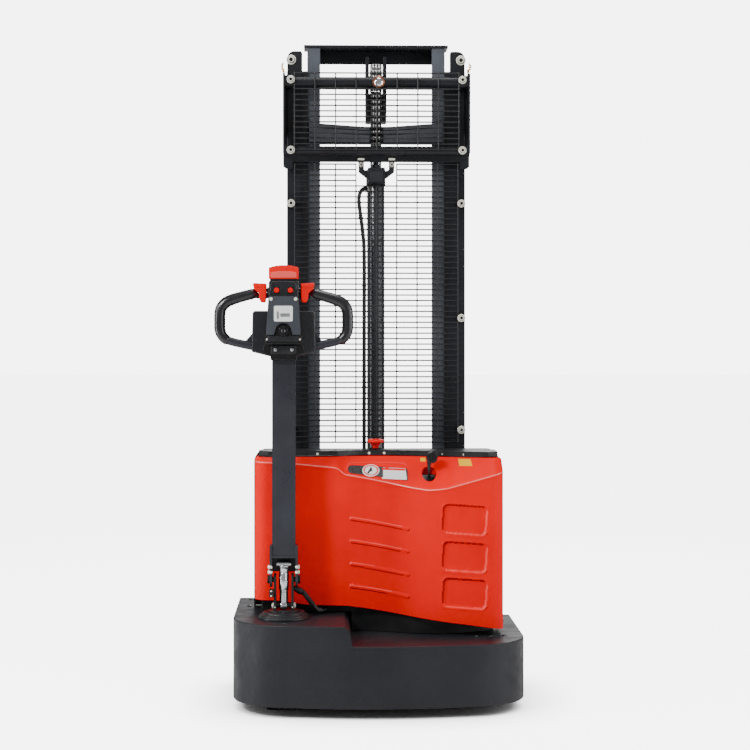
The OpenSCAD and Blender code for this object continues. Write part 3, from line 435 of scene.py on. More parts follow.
def refine(node, mat, width, segments=2, angle=32):
    """The CAD node's own shape with its sharp edges broken, as a new piece that stands for it."""
    src = NODES[node]
    me = src.data.copy()
    own = bmesh.new()
    own.from_mesh(me)
    bmesh.ops.remove_doubles(own, verts=own.verts, dist=1e-5)
    bmesh.ops.dissolve_limit(own, angle_limit=radians(0.6), verts=own.verts, edges=own.edges)
    own.to_mesh(me)
    own.free()
    me.materials.clear()
    me.materials.append(M[mat])
    me.name = node + "_shape"
    o = add(node + "_fine", me)
    soften(o)
    bevel(o, width, segments, angle)
    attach(o, src["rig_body"])
    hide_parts(node)
    return o


def repaint(node, mat):
    o = NODES[node]
    o.data.materials.clear()
    o.data.materials.append(M[mat])


# ---------------- camera and the free cord

cam = add("camera", bpy.data.cameras.new("camera"))
bpy.context.scene.camera = cam
cam.location = at(-158, -5067, 1055)
cam.rotation_euler = (radians(90), 0, radians(-1.6))
cam.data.sensor_width = 36
cam.data.lens = 86.4
cam.data.shift_y = -29 / 750

COIL = Vector((170, 354, 489))  # foot of the winding on the right-hand battery
LEAD_POINTS = [(125.1, 354, 506.8), (126.2, 342, 511), (131, 325, 528), (138, 315, 560), (150, 316, 594),
    (164, 319, 626), (170, 305, 654), (163, 282, 667), (153, 259, 668), (150.2, 245, 676),
    (150, 240.3, 683), (150, 240, 689)]
TAIL_POINTS = [(122, 394.5, 524), (122, 388, 524), (124.5, 378, 522.5), (129, 366, 516),
    (131.4, 359.5, 510.5), (132.1, 354, 506.8)]


def winding():
    """Two turns wide and three high: down the inner column, out at the bottom, up the outer one."""
    inner, outer, layer, turns, steps = 37.9, 44.9, 7.0, 5, 24
    low = COIL.z + LEAD_R + 0.3

    def step(t, start):
        return smooth((t - start) / 0.15)

    found = []
    for i in range(int(turns * steps) + 1):
        t = i / steps
        z = low + layer * (2 - step(t, 0.85) - step(t, 1.85) + step(t, 3.35) + step(t, 4.35))
        r = inner + (outer - inner) * step(t, 2.6)
        a = pi + 2 * pi * t
        found.append((COIL.x + r * cos(a), COIL.y + r * sin(a), z))
    return found


# charger lead
route = curve(TAIL_POINTS, 3)[:-1] + [Vector(p) for p in winding()] + curve(LEAD_POINTS, 4)[1:]
line = bpy.data.curves.new("charger_cord", "CURVE")
line.dimensions = "3D"
line.bevel_depth, line.bevel_resolution, line.use_fill_caps = LEAD_R / 1000, 3, True
strand = line.splines.new("POLY")
strand.points.add(len(route) - 1)
for p, q in zip(strand.points, route):
    p.co = (*at(*q), 1)
line.materials.append(M["rubber"])
cord = add("charger_cord", line)
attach(cord, "chassis")
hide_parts("charger_lead")

top = Vector((PLUG.x, PLUG.y, PLUG.z + 12.2))
grip = [(LEAD_R, 0), (4.6, 0.5), (4.8, 4), (4.3, 5), (5.1, 6), (5.3, 10), (4.8, 11), (5.7, 12), (6.0, 16),
    (5.5, 17), (6.4, 18), (6.8, 26), (5, 30)]
lathe(grip, up(*top), 20)
head = [(0, -9), (13, -9), (16, -7.5), (17, -4), (17, 13), (16, 16), (12.5, 17), (12, 15.5), (0, 15.5)]
lathe(head, out(top.x + 8, top.y, top.z + 37), 32)
for u in (-1.5, 17.5):
    lathe([(2.4, 12), (2.4, 32), (1.6, 34), (0, 34)], out(top.x + u, top.y, top.z + 37), 12)
plug = piece("charger_plug_head", "plug", "chassis", "charger_plug", edge=0.4)

lathe([(9, 0), (9, 3), (6.5, 4), (6, 10), (5.5, 16), (4.8, 24), (4.2, 30),
    (LEAD_R + 0.1, 31)], out(122, 395, 524), 20)
sleeve = piece("charger_strain_relief", "rubber")

# ---------------- hood

FOOT = [(-400, 303), (-306, 303), (-202, 289), (-91, 286), (14, 272), (128, 257), (241, 244), (400, 222)]
CREASE = [(-400, 714), (-240, 706), (-121, 694), (-112, 688), (-102, 675), (-60, 668), (33, 651), (98, 639),
    (146, 633), (195, 638), (275, 660), (400, 696)]
CORNER_R = 40


def lookup(x, table):
    for (a, p), (b, q) in zip(table, table[1:]):
        if x <= b:
            return p + (q - p) * max(0.0, (x - a) / (b - a))
    return table[-1][1]


def soft_lookup(x, table, reach=9):
    """The table's line with its corners softened."""
    return sum(lookup(x + reach * k / 3, table) for k in range(-3, 4)) / 7


def face_y(x):
    over = max(0.0, abs(x) - (HOOD_HALF_W - CORNER_R))
    turned = CORNER_R - sqrt(max(0.0, CORNER_R ** 2 - over ** 2))
    return 262 - 90 * smooth((x + 40) / 270) + turned


def crease_z(x):
    return soft_lookup(x, CREASE)


def brow_y(x, z):
    return face_y(x) + BROW_TAN * (z - crease_z(x))


def on_brow(x, z):
    """Places (u, v, w) on the brow: u across, v up the slope, w out of the surface."""
    o = Vector((x, brow_y(x, z), z))
    across = Vector((1, (brow_y(x + 2, z) - brow_y(x - 2, z)) / 4, 0)).normalized()
    slope = Vector((0, BROW_TAN, 1)).normalized()
    normal = across.cross(slope).normalized()
    return lambda u, v, w: o + across * u + slope * v + normal * w


def box_distance(x, z, half_x, half_z, r):
    qx, qz = abs(x) - half_x + r, abs(z) - half_z + r
    return min(max(qx, qz), 0) + hypot(max(qx, 0), max(qz, 0)) - r


def relief(x, z):
    """How far the hood's face is pushed in: three recessed panels, four raised slanting ribs."""
    depth = 0.0
    for cz in (547.5, 438.5, 332):
        u, v = x - 250.5, z - cz
        if abs(u) < 90 and abs(v) < 70:
            tilt = radians(-4)
            a, b = u * cos(tilt) + v * sin(tilt), v * cos(tilt) - u * sin(tilt)
            depth += 6.0 * smooth(-box_distance(a, b, 65, 43, 17) / 4.5)
            depth -= 1.2 * smooth(1 - abs(box_distance(a, b, 68, 46, 20)) / 3.5)
    for z0 in (543, 477, 409, 344):
        if -100 < x < 110 and abs(z - z0) < 50:
            t = min(1.0, max(0.0, (x + 79) / 165))
            d = hypot(x - (-79 + 165 * t), z - (z0 - 26.5 * t))
            depth -= 3.6 * smooth((6.0 - d) / 2.8) * (1 - 0.4 * t)
    return depth


def painted_relief_shading(x, z):
    """Which material a spot of the face takes: 3, a painted shade, on the shaded and 4, a painted
    highlight, on the lit slopes of the relief.
    """
    if x < -92 or z > 620:
        return 0
    turn = relief(x + 1.5, z) - relief(x - 1.5, z) - relief(x, z + 1.5) + relief(x, z - 1.5)
    return 3 if turn > 1.7 else 4 if turn < -1.7 else 0


# hood cover
rows, brow_rows, arc_r = 132, 16, 4.5
tangent = arc_r * tan(radians(51 / 2))
flat = HOOD_HALF_W - CORNER_R
turn = [radians(90 * k / 11) for k in range(12)]
xs = [-flat - CORNER_R * sin(a) for a in turn[::-1]]
xs += [-flat + 2 * flat * k / 262 for k in range(1, 262)]
xs += [flat + CORNER_R * sin(a) for a in turn]
columns, glossy = [], None
for x in xs:
    foot, crease, front = lookup(x, FOOT), crease_z(x), face_y(x)
    column = []
    for k in range(rows + 1):
        z = foot + (crease - tangent - foot) * k / rows
        lip = 1.8 * smooth((crease - z - 3) / 7)
        column.append((x, front + lip + relief(x, z), z))
    glossy = len(column)
    for k in range(1, 5):
        a = radians(51 * k / 4)
        column.append((x, front + arc_r * (1 - cos(a)), crease - tangent + arc_r * sin(a)))
    over = max(0.0, abs(x) - (HOOD_HALF_W - 9))
    drop = 9 - sqrt(81 - over ** 2)
    start = crease - tangent + arc_r * sin(radians(51))
    for k in range(1, brow_rows + 1):
        z = start + (HOOD_TOP - start) * k / brow_rows
        column.append((x, brow_y(x, z), z - drop * k / brow_rows))
    edge = column[-1][1]
    for k in range(1, 4):
        column.append((x, edge + (HOOD_BACK - edge) * k / 3, HOOD_TOP - drop))
    columns.append([bm.verts.new(p) for p in column])
for a, b in zip(columns, columns[1:]):
    for k in range(len(a) - 1):
        mid = (a[k].co + b[k + 1].co) / 2
        # The relief's slopes take painted shade or painted highlight, and the crease's rounding takes a
        # painted highlight.
        spot = painted_relief_shading(mid.x, mid.z) if k < glossy - 1 else 2 if k < glossy + 3 else 1
        bm.faces.new((a[k], b[k], b[k + 1], a[k + 1])).material_index = spot
for edge_column in (columns[0], columns[-1]):
    before = edge_column[:glossy]
    foot = before[0].co.z
    for top in edge_column[glossy:]:
        x, y, z = top.co
        wall = [bm.verts.new((x, max(y, low.co.y + 0.05), foot + (z - foot) * k / (glossy - 1)))
                for k, low in enumerate(before[:-1])] + [top]
        for k in range(glossy - 1):
            quad = (before[k], wall[k], wall[k + 1], before[k + 1])
            bm.faces.new([v for i, v in enumerate(quad) if v not in quad[:i]])
        before = wall
o = piece("hood_skin", ("red_face", "red", "red_crease_highlight", "red_painted_shade", "red_light"), "chassis", "hood_cover",
    angle=38)
solid = o.modifiers.new("wall", "SOLIDIFY")
solid.thickness, solid.offset = 0.005, -1

lathe([(PLUG_HOLE_R, 0), (PLUG_HOLE_R, 160)], out(PLUG.x, PLUG.y + 70, PLUG.z), 64)
tool = add("plug_hole", finished("plug_hole"))
cut = o.modifiers.new("plug_hole", "BOOLEAN")
cut.operation, cut.object, cut.solver = "DIFFERENCE", tool, "MANIFOLD"
bpy.context.view_layer.update()
done = bpy.data.meshes.new_from_object(o.evaluated_get(bpy.context.evaluated_depsgraph_get()))
o.modifiers.clear()
o.data = done
soften(o, 38)
bpy.data.objects.remove(tool)

# A red scoop behind the hole in the brow, its lower half filled by a black insert.
back, steps, n = PLUG.y + 52, 6, 40
r = PLUG_HOLE_R + 0.6
rings = []
for k in range(steps + 1):
    loop = []
    for i in range(n):
        a = 2 * pi * i / n
        x, z = PLUG.x + r * cos(a), PLUG.z + r * sin(a)
        front = brow_y(x, z) + 2.5
        y = back + (front - back) * k / steps
        shrink = sqrt(1 - (1 - k / steps) ** 2 * 0.75)
        loop.append(bm.verts.new((PLUG.x + (x - PLUG.x) * shrink, y, PLUG.z + (z - PLUG.z) * shrink)))
    rings.append(loop)
for a, b in zip(rings, rings[1:]):
    skin(a, b)
bm.faces.new(rings[0])
o = piece("plug_scoop", "red")
wall = o.modifiers.new("wall", "SOLIDIFY")
wall.thickness, wall.offset = 0.0015, 1

half = [(r * 0.96 * cos(pi * k / 20), -r * 0.96 * sin(pi * k / 20)) for k in range(21)]
front = [bm.verts.new((PLUG.x + u, brow_y(PLUG.x, PLUG.z + v) + 5, PLUG.z + v - 3)) for u, v in half]
rear = [bm.verts.new((PLUG.x + u, back - 8, PLUG.z + v - 3)) for u, v in half]
bm.faces.new(front)
bm.faces.new(rear[::-1])
skin(front, rear)
piece("plug_insert", "panel", edge=0.8)

# The slot in the brow with its battery dial and blank plate.
repaint("indicator_panel", "panel")
# The lip along the slot's upper edge takes the lit red: a painted highlight.
lip = [(-92, 684), (-91, 694), (-86, 702), (-76, 706), (-30, 706.5), (30, 706), (68, 705), (80, 703),
    (88, 697)]
sweep([on_brow(p.x, p.y)(0, 0, 0.4) for p in curve([(x, z, 0) for x, z in lip], 4)],
    lambda t: 1.8 * min(1, 8 * t, 8 * (1 - t)) + 0.15, 10)
piece("slot_lip", "red_light")

dial = on_brow(-21, 683)
lathe([(0, 1), (25.5, 1), (26, 2), (25.5, 3.2), (23.6, 3.8), (22.8, 3.0), (0, 3.0)], dial, 48)
piece("dial_face", "white")
lathe([(18.6, 2.9), (18.6, 3.6), (22.2, 3.6), (22.2, 2.9)], dial, 48)
piece("dial_ring", "gloss")
prism([(-12, -13), (-8, -15), (2.6, -1), (3.6, 8), (0.4, 15), (-2.6, 8)], dial, 3.0, 3.9)
lathe([(4.2, 2.9), (4.2, 4.4), (3, 5), (0, 5)], dial, 16)
for k in range(7):
    a = radians(-30 + 40 * k)
    c, s = cos(a), sin(a)
    prism([(16 * c - 0.5 * s, 16 * s + 0.5 * c), (18.6 * c - 0.5 * s, 18.6 * s + 0.5 * c),
        (18.6 * c + 0.5 * s, 18.6 * s - 0.5 * c), (16 * c + 0.5 * s, 16 * s - 0.5 * c)], dial, 2.95, 3.2)
piece("dial_needle", "plug")

plate = on_brow(49, 676)
card = rounded([(-38, -25), (37, -28), (34, 21), (-38, 24)], 3)
prism(card, plate, 1.4, 2.6)
piece("slot_plate", "white", edge=0.4)
prism([(-36.5, 13), (33.4, 10.5), (33, 19), (-36.5, 22)], plate, 2.5, 2.9)
prism([(-28, 21), (-16, 21), (-22, 32)], plate, 1.6, 2.9)
piece("slot_plate_band", "gloss")

prism(rect(-8, -7, 8, 9, 1), on_brow(135, 715), 0.2, 0.7)
prism(rounded([(-19, -14), (21, -14), (17, 16), (-21, 16)], 1), on_brow(257, 710), 0.2, 0.7)
piece("brow_tags", "yellow")


def pan_head(place, r, h):
    """A pan head seated at w = 0, its top dipping slightly at the centre."""
    lathe([(0, -0.5), (r, -0.5), (r, 0.3 * h), (0.85 * r, 0.75 * h), (0.5 * r, h),
        (0, h * 0.98)], place, 20)


def top_edge(x):
    return min(brow_y(x, HOOD_TOP) + 6, HOOD_BACK - 2)


# hood top
refine("hood_shell", "shell", 1.5)
for x in (-24.6, 21, 194, 255, -300, -180):
    pan_head(out(x, top_edge(x), 733), 4.2, 2.6)
piece("hood_screws", "zinc")
across = [-HOOD_HALF_W + 2 * HOOD_HALF_W * k / 60 for k in range(61)]
sweep([(x * 0.97, top_edge(x) - 0.6, 727.2) for x in across], 1.5, 8)
piece("hood_seal", "plug")

# stop switch
x, y, z = -4, 392, 742
profile = [(0, -20), (9, -20), (9, 12), (13.5, 12), (14, 13), (15.5, 17), (21, 19.4), (25, 21), (26, 23.5),
    (25.6, 26.5), (23.5, 29.2), (19, 31), (17.2, 31.2), (16.8, 30.4), (11, 31.6), (0, 32.2)]
lathe(profile, up(x, y, z), 48)
piece("stop_cap", "gloss", "stop_button", "stop_button")
lathe([(9.1, -40), (14.8, -40), (14.8, 0), (19, 0.1), (19.2, 2.6), (18, 4), (11, 4),
    (9.1, 3.4)], up(x, y, z), 40)
piece("stop_collar", "plug", "chassis", "stop_button_base")
for k in range(3):
    a = radians(90 + 120 * k)
    c, s = cos(a), sin(a)
    prism([(12 * c - 2 * s, 12 * s + 2 * c), (15.5 * c, 15.5 * s),
        (12 * c + 2 * s, 12 * s - 2 * c)], up(x, y, z), 31.0, 31.9)
piece("stop_arrows", "white", "stop_button")

# ---------------- tiller

# tiller head
body = "tiller"
wings = rounded([(-90, 1157, 8), (90, 1157, 8), (93, 1038, 4), (38, 1024, 4), (-38, 1024, 4),
    (-93, 1038, 4)], 5)
prism(wings, out(TX, 204, 0), 0, 52)
piece("tiller_wings", "plastic", body, "tiller_head", edge=4, segments=3)
prism(rounded(mirrored([(38, 1014, 2), (38, 1026, 3), (62, 1034, 3),
    (56, 1058, 2)]), 3), out(TX, 200, 0), 0, 52)
piece("tiller_skirt", "panel", body, edge=2)
prism(rect(-43, 1064, 43, 1243, 4), out(TX, 206, 0), 0, 66)
piece("tiller_block", "plastic", body, edge=3, segments=3)

arch = [(-37, 140, 1216), (-37, 140, 1228), (-34, 140, 1236), (-26, 140, 1240), (0, 140, 1241),
    (26, 140, 1240), (34, 140, 1236), (37, 140, 1228), (37, 140, 1216)]
sweep([(TX + p.x, p.y, p.z) for p in curve(arch, 4)], 1.5, 8, round_ends=True)
piece("panel_arch", "arm", body)
for s in (-1, 1):
    lathe([(7.7, -1), (10.5, -1), (10.8, 0.8), (10, 1.6), (8.2, 1.6),
        (7.7, 0.8)], out(TX + s * 20, 140, THROTTLE_Z), 28)
piece("button_bezels", "plug", body)
for s, name in ((-1, "lift_button"), (1, "lower_button")):
    lathe([(0, -6), (7.5, -6), (7.5, 3), (6.9, 3.8), (5, 4.1), (0, 3.4)],
        out(TX + s * 20, 140, THROTTLE_Z), 28)
    piece(name + "_cap", "gloss", name, name)

# tiller cover
arch = [(23 * cos(a), 1099 + 22 * sin(a)) for a in (pi * k / 12 for k in range(13))]
plate = [(-50, 1087), (-43, 1198), (43, 1198), (50, 1087), (27, 1087)] + arch + [(-27, 1087)]
prism(rounded([(x, z, 5 if z > 1190 else 0.8) for x, z in plate], 1, 2), out(TX, 141, 0), 0, 25)
piece("cover_plate", "grey", body, "tiller_cover", edge=2.2, segments=3)
prism(rounded(mirrored([(53, 1061), (52, 1088), (25, 1088), (21, 1117)]), 3), out(TX, 141, 0), 0, 19)
piece("cover_base", "panel", body, edge=2.5, segments=3)
prism(rounded(mirrored([(46, 1068), (45, 1084)]), 3), out(TX, 141, 0), 18, 24)
piece("cover_band", "plastic", body, edge=1.5)
for x, z in ((-35.5, 1190), (35.5, 1190)):
    pan_head(out(TX + x, 116, z), 5, 2.4)
for x, z in ((-47, 1074), (47, 1074)):
    pan_head(out(TX + x, 121.5, z), 3.2, 1.6)
piece("cover_screws", "zinc", body)
label = out(TX, 116, 1148)
prism(rect(-27, -22.5, 27, 22.5, 4), label, -0.2, 0.8)
piece("cover_label", "white", body, edge=0.3)
prism(rect(-9, -9, 19, 1, 3), label, 0.7, 1.1)
prism(rect(-19, -15, -13, 7, 2), label, 0.7, 1.1)
piece("cover_label_fields", "alu", body)

key = out(TX, 123, 1098)
lathe([(14.2, 0), (17.5, 0), (17.5, 5), (16.4, 6.6), (14.2, 6.6)], key, 36)
piece("key_bezel", "plug", body)
lathe([(0, 0), (13.9, 0), (13.9, 9), (12.6, 11), (8, 11.2), (7.6, 10), (0, 10)], key, 36)
prism(rect(-3, -11, 3, 9, 1.5), key, 10, 27)
piece("key_knob", "plug", "key_switch", "key_switch", edge=0.6)
lathe([(4.2, 9.9), (5.8, 9.9), (5.8, 12), (4.2, 12)], key, 24)
piece("key_ring", "steel", "key_switch")

# belly and paddles
top = [(43 - 86 * k / 16, 1289 - 7 * ((43 - 86 * k / 16) / 43) ** 2) for k in range(17)]
outline = [(-41, 1249), (41, 1249), (43, 1252)] + top + [(-43, 1252)]
prism(outline, out(TX, 204, 0), 0, 62)
box((TX - 15, 176, 1229), (TX + 15, 200, 1250))
piece("belly_shell", "gloss", "belly_button", "belly_button", edge=3.5, segments=3)
# A thin slab over the belly's lower front carries the lighter red: a painted highlight.
arc = [(37 - 74 * k / 12, 1271.5 - 3.5 * ((37 - 74 * k / 12) / 37) ** 2) for k in range(13)]
prism([(-37, 1252.5), (37, 1252.5)] + arc, out(TX, 142, 0), -1, 1.6)
piece("belly_highlight_band", "pink", "belly_button", edge=1.2)
for k in range(3):
    half, front = 40 - k % 2, 143 + k % 2
    box((TX - half, front, 1242 + 3 * k), (TX + half, 346 - front, 1245 + 3 * k))
boot = piece("belly_boot", "plug", None)
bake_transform(boot)

lathe([(6, -50), (6, 50)], right(TX, 166, THROTTLE_Z), 20)
blade = [(52, 1181, 4), (66, 1181, 6), (71, 1192, 5), (72, 1208, 8), (86, 1220, 4), (89.5, 1233, 3),
    (87, 1238, 2), (50, 1236, 2), (50, 1200, 5)]
for s in (-1, 1):
    shape = rounded([(x, z, r) for x, z, r in blade], 2, 3)
    prism([(s * x, z) for x, z in shape][::s], out(TX, 178, 0), 0, 27)
piece("throttle_paddles", "gloss", "throttle", "throttle", edge=2.4, segments=3)
for s in (-1, 1):
    prism([(s * x, z) for x, z in rounded([(51.5, 1225, 1), (84, 1225, 2), (87, 1235, 2),
        (51.5, 1234, 1)], 1)][::s], out(TX, 151.2, 0), 0, 1.6)
piece("throttle_flanges", "gloss", "throttle", edge=0.6)
for s in (-1, 1):
    lathe([(7.5, 43.4), (9.5, 43.4), (9.5, 48), (7.5, 49)], side(s, TX, 166, THROTTLE_Z), 24)
piece("throttle_bushes", "plug", "tiller")

# handles
HANDLE = [(-90, 1207), (-120, 1199), (-150, 1190), (-170, 1180), (-182, 1165), (-185.6, 1148), (-186, 1126),
    (-185.6, 1105), (-180.5, 1088), (-168, 1074), (-148, 1067), (-118, 1060), (-84, 1053)]
bow = curve([(x, z, 0) for x, z in HANDLE], 6)
paths = [[Vector((TX - s * p.x, 176, p.y)) for p in bow] for s in (-1, 1)]
sleeved = int(len(paths[0]) * 0.76)
for s, path in zip((-1, 1), paths):
    sweep(path[sleeved - 2:], 12.2, 24)
    prism([(-s * 90, 1094), (-s * 113, 1068), (-s * 90, 1061)][::s], out(TX, 178, 0), 0, 4)
    box((TX - s * 99 - 9, 182, 1190), (TX - s * 99 + 8.4, 204, 1212))
    box((TX - s * 67.5 - 24.4, 190, 1194), (TX - s * 67.5 + 24.4, 204, 1210))
piece("handle_tubes", "arm", "tiller", "tiller_handles", edge=0.8)
for path in paths:
    # the sleeve is a little thicker where the hand closes round it
    sweep(path[:sleeved], lambda t: 15.0 + 1.4 * smooth(4 * t) * smooth(4 * (1 - t)), 24, round_ends=True)
piece("handle_grips", "grip", "tiller")

# tiller neck
refine("tiller_arm", "arm", 2.6, 3)
prism(rounded(mirrored([(37, 1031), (36, 1057)]), 4), out(TX, 165, 0), 0, 20)
piece("neck_clamp", "motor", "tiller", edge=3, segments=3)
for x in (-24, 24):
    pan_head(out(TX + x, 145, 1044), 5.5, 4)
piece("neck_bolts", "axle", "tiller")
for s in (-1, 1):
    for z in (397, 412):
        lathe([(0, 41), (6.4, 41), (6.4, 43.5), (5.2, 46), (2.5, 46.6), (0, 46)], side(s, TX, 176, z), 20)
piece("ear_bolts", "zinc", "tiller")
for s in (-1, 1):
    for z in (398, 413):
        lathe([(0, 0), (4.5, 0), (4.5, 2.5), (3, 4), (0, 4)], out(TX + s * 37.5, 163, z), 16)
piece("ear_screws", "zinc", "tiller")
box((TX - 34, 200, 396), (TX + 34, 204.5, 441))
piece("arm_back_plate", "frame", "tiller", edge=1)


def along_strut():
    """Places (u, v, w) along the gas spring's axis, from its foot pin."""
    foot, head = pivot("strut_swing"), Vector((TX, 181, 420))
    w_axis = (head - foot).normalized()
    v_axis = w_axis.cross(Vector((1, 0, 0))).normalized()
    return lambda u, v, w: foot + Vector((1, 0, 0)) * u + v_axis * v + w_axis * w, (head - foot).length


# gas spring
place, length = along_strut()
lathe([(12.6, 46), (13.6, 46), (14.4, 47.5), (14.4, 94), (13.6, 95.5), (14.4, 97), (14.4, 105), (15.6, 109),
    (17.5, 112), (17.5, length - 4), (9, length - 4)], place, 36)
lathe([(7, -21), (7, -17), (8, -16), (8, 16), (7, 17), (7, 21)], lambda u, v, w: place(w, u, v + length),
    28)
piece("strut_barrel_body", "steel", "strut_barrel", "gas_spring_barrel", edge=0.5)
lathe([(8, 6), (12.4, 9), (12.4, 39), (11.6, 40), (12.4, 41), (12.4, 68)], place, 32)
lathe([(6.05, -9), (10.4, -9), (11, -8), (11, 8), (10.4, 9), (6.05, 9)], lambda u, v, w: place(w, u, v), 32)
piece("strut_rod_body", "steel", "strut_rod", "gas_spring_rod")

# steering parts
CONDUIT = [(50, 196, 338), (58, 199, 333), (67, 204, 321), (79, 214, 304), (88, 227, 289), (96, 243, 277.5),
    (105, 260, 272.5), (118, 284, 271.8)]
refine("steering_yoke", "frame", 1.2)
z = 263
lathe([(47, 0.2), (74, 0.2), (74.5, 3), (73, 7), (70, 9), (69, 13), (66.5, 14.5), (62.5, 14.5), (61, 17),
    (60.5, 20), (58.5, 21), (50, 21), (48.5, 19), (47, 19)], up(TX, TY, z), 72)
piece("collar_rings", "frame", "chassis", "steering_collar", edge=0.5)
box((TX - 42, 150, 327), (TX - 29.4, 172, 349))
box((TX - 40, 154, 349), (TX - 36, 160, 351.5))
piece("tilt_switch", "plug", "drive_unit", edge=1.2)
for x, z in ((-36, 331), (-36, 345)):
    pan_head(out(TX + x, 150, z), 2.8, 1.6)
for s in (-1, 1):
    for z in (297, 340):
        pan_head(out(TX + s * 25.5, 158 if z < 300 else 166, z), 3.4, 2.4)
    lathe([(0, 29), (9, 29), (9, 33), (4, 35), (0, 35)], side(s, TX, 178, 300), 6)
piece("yoke_bolts", "zinc", "drive_unit")

path = curve([(TX + x, y, z) for x, y, z in CONDUIT], 16)
CONDUIT_RINGS = 30
sweep(curve(path, 3), lambda t: 7.3 + 0.7 * cos(2 * pi * CONDUIT_RINGS * t), 14)
o = piece("conduit_corrugated", "hose", None, "tiller_conduit")
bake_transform(o)
way = (path[0] - path[2]).normalized()
sweep([path[0] + way * 26, path[0] + way * 14, path[0] + way * 4, path[3]],
    lambda t: 5.5 + 4.5 * smooth(t * 2), 16)
piece("conduit_boot", "rubber", "drive_unit")

# ---------------- mast


def washer_bolts(name, shade_piece, seats, replaces=(), extra=()):
    """Washers with socket-head bolts, seated at w = 0 of each (place, washer radius, head radius), with
    painted shade as a second piece: dark discs in their sockets and a dark ring round each head's foot.
    extra is what else goes with the bolts."""
    for place, r, head in seats:
        lathe([(4.9, 0), (r, 0), (r, 2.2), (r - 0.8, 3), (4.9, 3)], place, 28)
        lathe([(0, 2.9), (head, 2.9), (head, 7.5), (head - 1.2, 9), (head * 0.66, 9), (head * 0.62, 5.5),
            (0, 5.5)], place, 24)
    for shape, *more in extra:
        shape(*more)
    piece(name, "zinc", "chassis", replaces)
    for place, r, head in seats:
        # Painted shade: dark discs filling the sockets, and a dark ring where each head meets its washer.
        pin(head * 0.61, 5.4, 7.6, place, 6)
        lathe([(head - 0.2, 2.8), (head + 1.5, 2.8), (head + 1.3, 3.3), (head - 0.2, 3.3)], place, 24)
    piece(shade_piece, "plug")


# guard
pitch_x, pitch_z, half = 62.5, 16.7, 254


def rail(x0, x1, y, z):
    lathe([(2.3, x0), (2.3, x1)], right(0, y, z), 8)


def post(x, y, z0, z1):
    lathe([(1.9, z0), (1.9, z1)], up(x, y), 8)


def grille(y, z0, z1, notch):
    count = int((z1 - z0) / pitch_z)
    for i in range(count + 1):
        z = z1 - i * pitch_z
        if z > notch:
            rail(-half, -pitch_x, y + 2, z)
            rail(pitch_x, half, y + 2, z)
        else:
            rail(-half, half, y + 2, z)
    for c in range(-4, 5):
        top = notch if c == 0 and notch < z1 else z1
        post(c * pitch_x, y + 1, z1 - count * pitch_z - 1.5, top + 1.5)


grille(399, 1650, 1836, 9999)
rail(-half, half, 401, 1884.5)
for c in range(-4, 5):
    post(c * pitch_x, 400, 1830, 1886)
grille(444, 745, 1612, 1548)
piece("guard_wires", "wire", "chassis", "guard_mesh")

seats, shanks = [], []
for x in (-GUARD_BOLT_X, GUARD_BOLT_X):
    seats += [(out(x, 399, z), 12, 7.5) for z in (1864, 1650)]
    shanks += [(pin, 5, -10, 1, out(x, 399, z), 12) for z in (1864, 1650)]
    seats += [(out(x, 444, z), 12, 7.5) for z in (798, 1141, 1492)] + [(out(x, 466, 1934), 15, 9.5)]
washer_bolts("guard_fasteners", "guard_socket_shade", seats, "guard_bolts", shanks)

stud = out(6, 405, 1858)
lathe([(0, 0), (14, 0), (14.5, 1.5), (13, 4), (8, 6.5), (0, 7.5)], stud, 36)
piece("tube_stud", "chrome")
lathe([(13.6, -0.5), (18, -0.5), (18.3, 1.2), (17, 2.6), (13.6, 2.6)], stud, 36)
piece("tube_stud_seat", "copper")

for s in (-1, 1):
    base = Vector((s * 284, 452, 1900))
    hook = [(0, 0, 22), (s * 4, -2, 18), (s * 4, -4, 8), (0, -4, 0), (-s * 3, -4, -12), (-s * 1, -2, -30)]
    sweep([base + p for p in curve(hook, 4)], 1.7, 8, round_ends=True)
    for z in (4, 10, 16):
        lathe([(3.2, z - 1.6), (4.4, z), (3.2, z + 1.6)], up(base.x + s * 4, base.y - 3, base.z), 14)
    box((base.x - 4, 450, 1896), (base.x + 2, 470, 1904))
piece("head_clips", "gold")

# mast
# The inner mast's channels take the lighter grey, a painted sheen.
for node, mat, width in (("outer_mast_channels", "mast", 2.5), ("outer_mast_ties", "mast", 1.5),
        ("guard_frame", "mast", 1.2), ("inner_mast_channels", "inner", 2.0),
        ("inner_mast_ties", "mast", 1.5), ("pulley_bracket", "mast", 1.5),
        ("cylinder_clamp", "frame", 2.0)):
    refine(node, mat, width)
# The tie's slats take the same painted sheen.
for s in (-1, 1):
    for k in range(4):
        outer = (1741 - 15.6 * k, 1741 - 15.6 * k - 13)
        inner = (1727.5 - 12.4 * k, 1727.5 - 12.4 * k - 10.4)
        prism([(s * 20, inner[1]), (s * 205, outer[1]), (s * 205, outer[0]),
            (s * 20, inner[0])][::s], out(0, 465.5, 0), 0, 3.6)
piece("tie_slats", "inner", "inner_mast", edge=1.4)
sweep(curve([(188, 462, 1746), (200, 462, 1746), (207, 462, 1740), (208, 462, 1710), (207, 462, 1680),
    (200, 462, 1673), (182, 462, 1673)], 5), 2.8, 10, round_ends=True)
piece("tie_hook", "frame", "inner_mast")

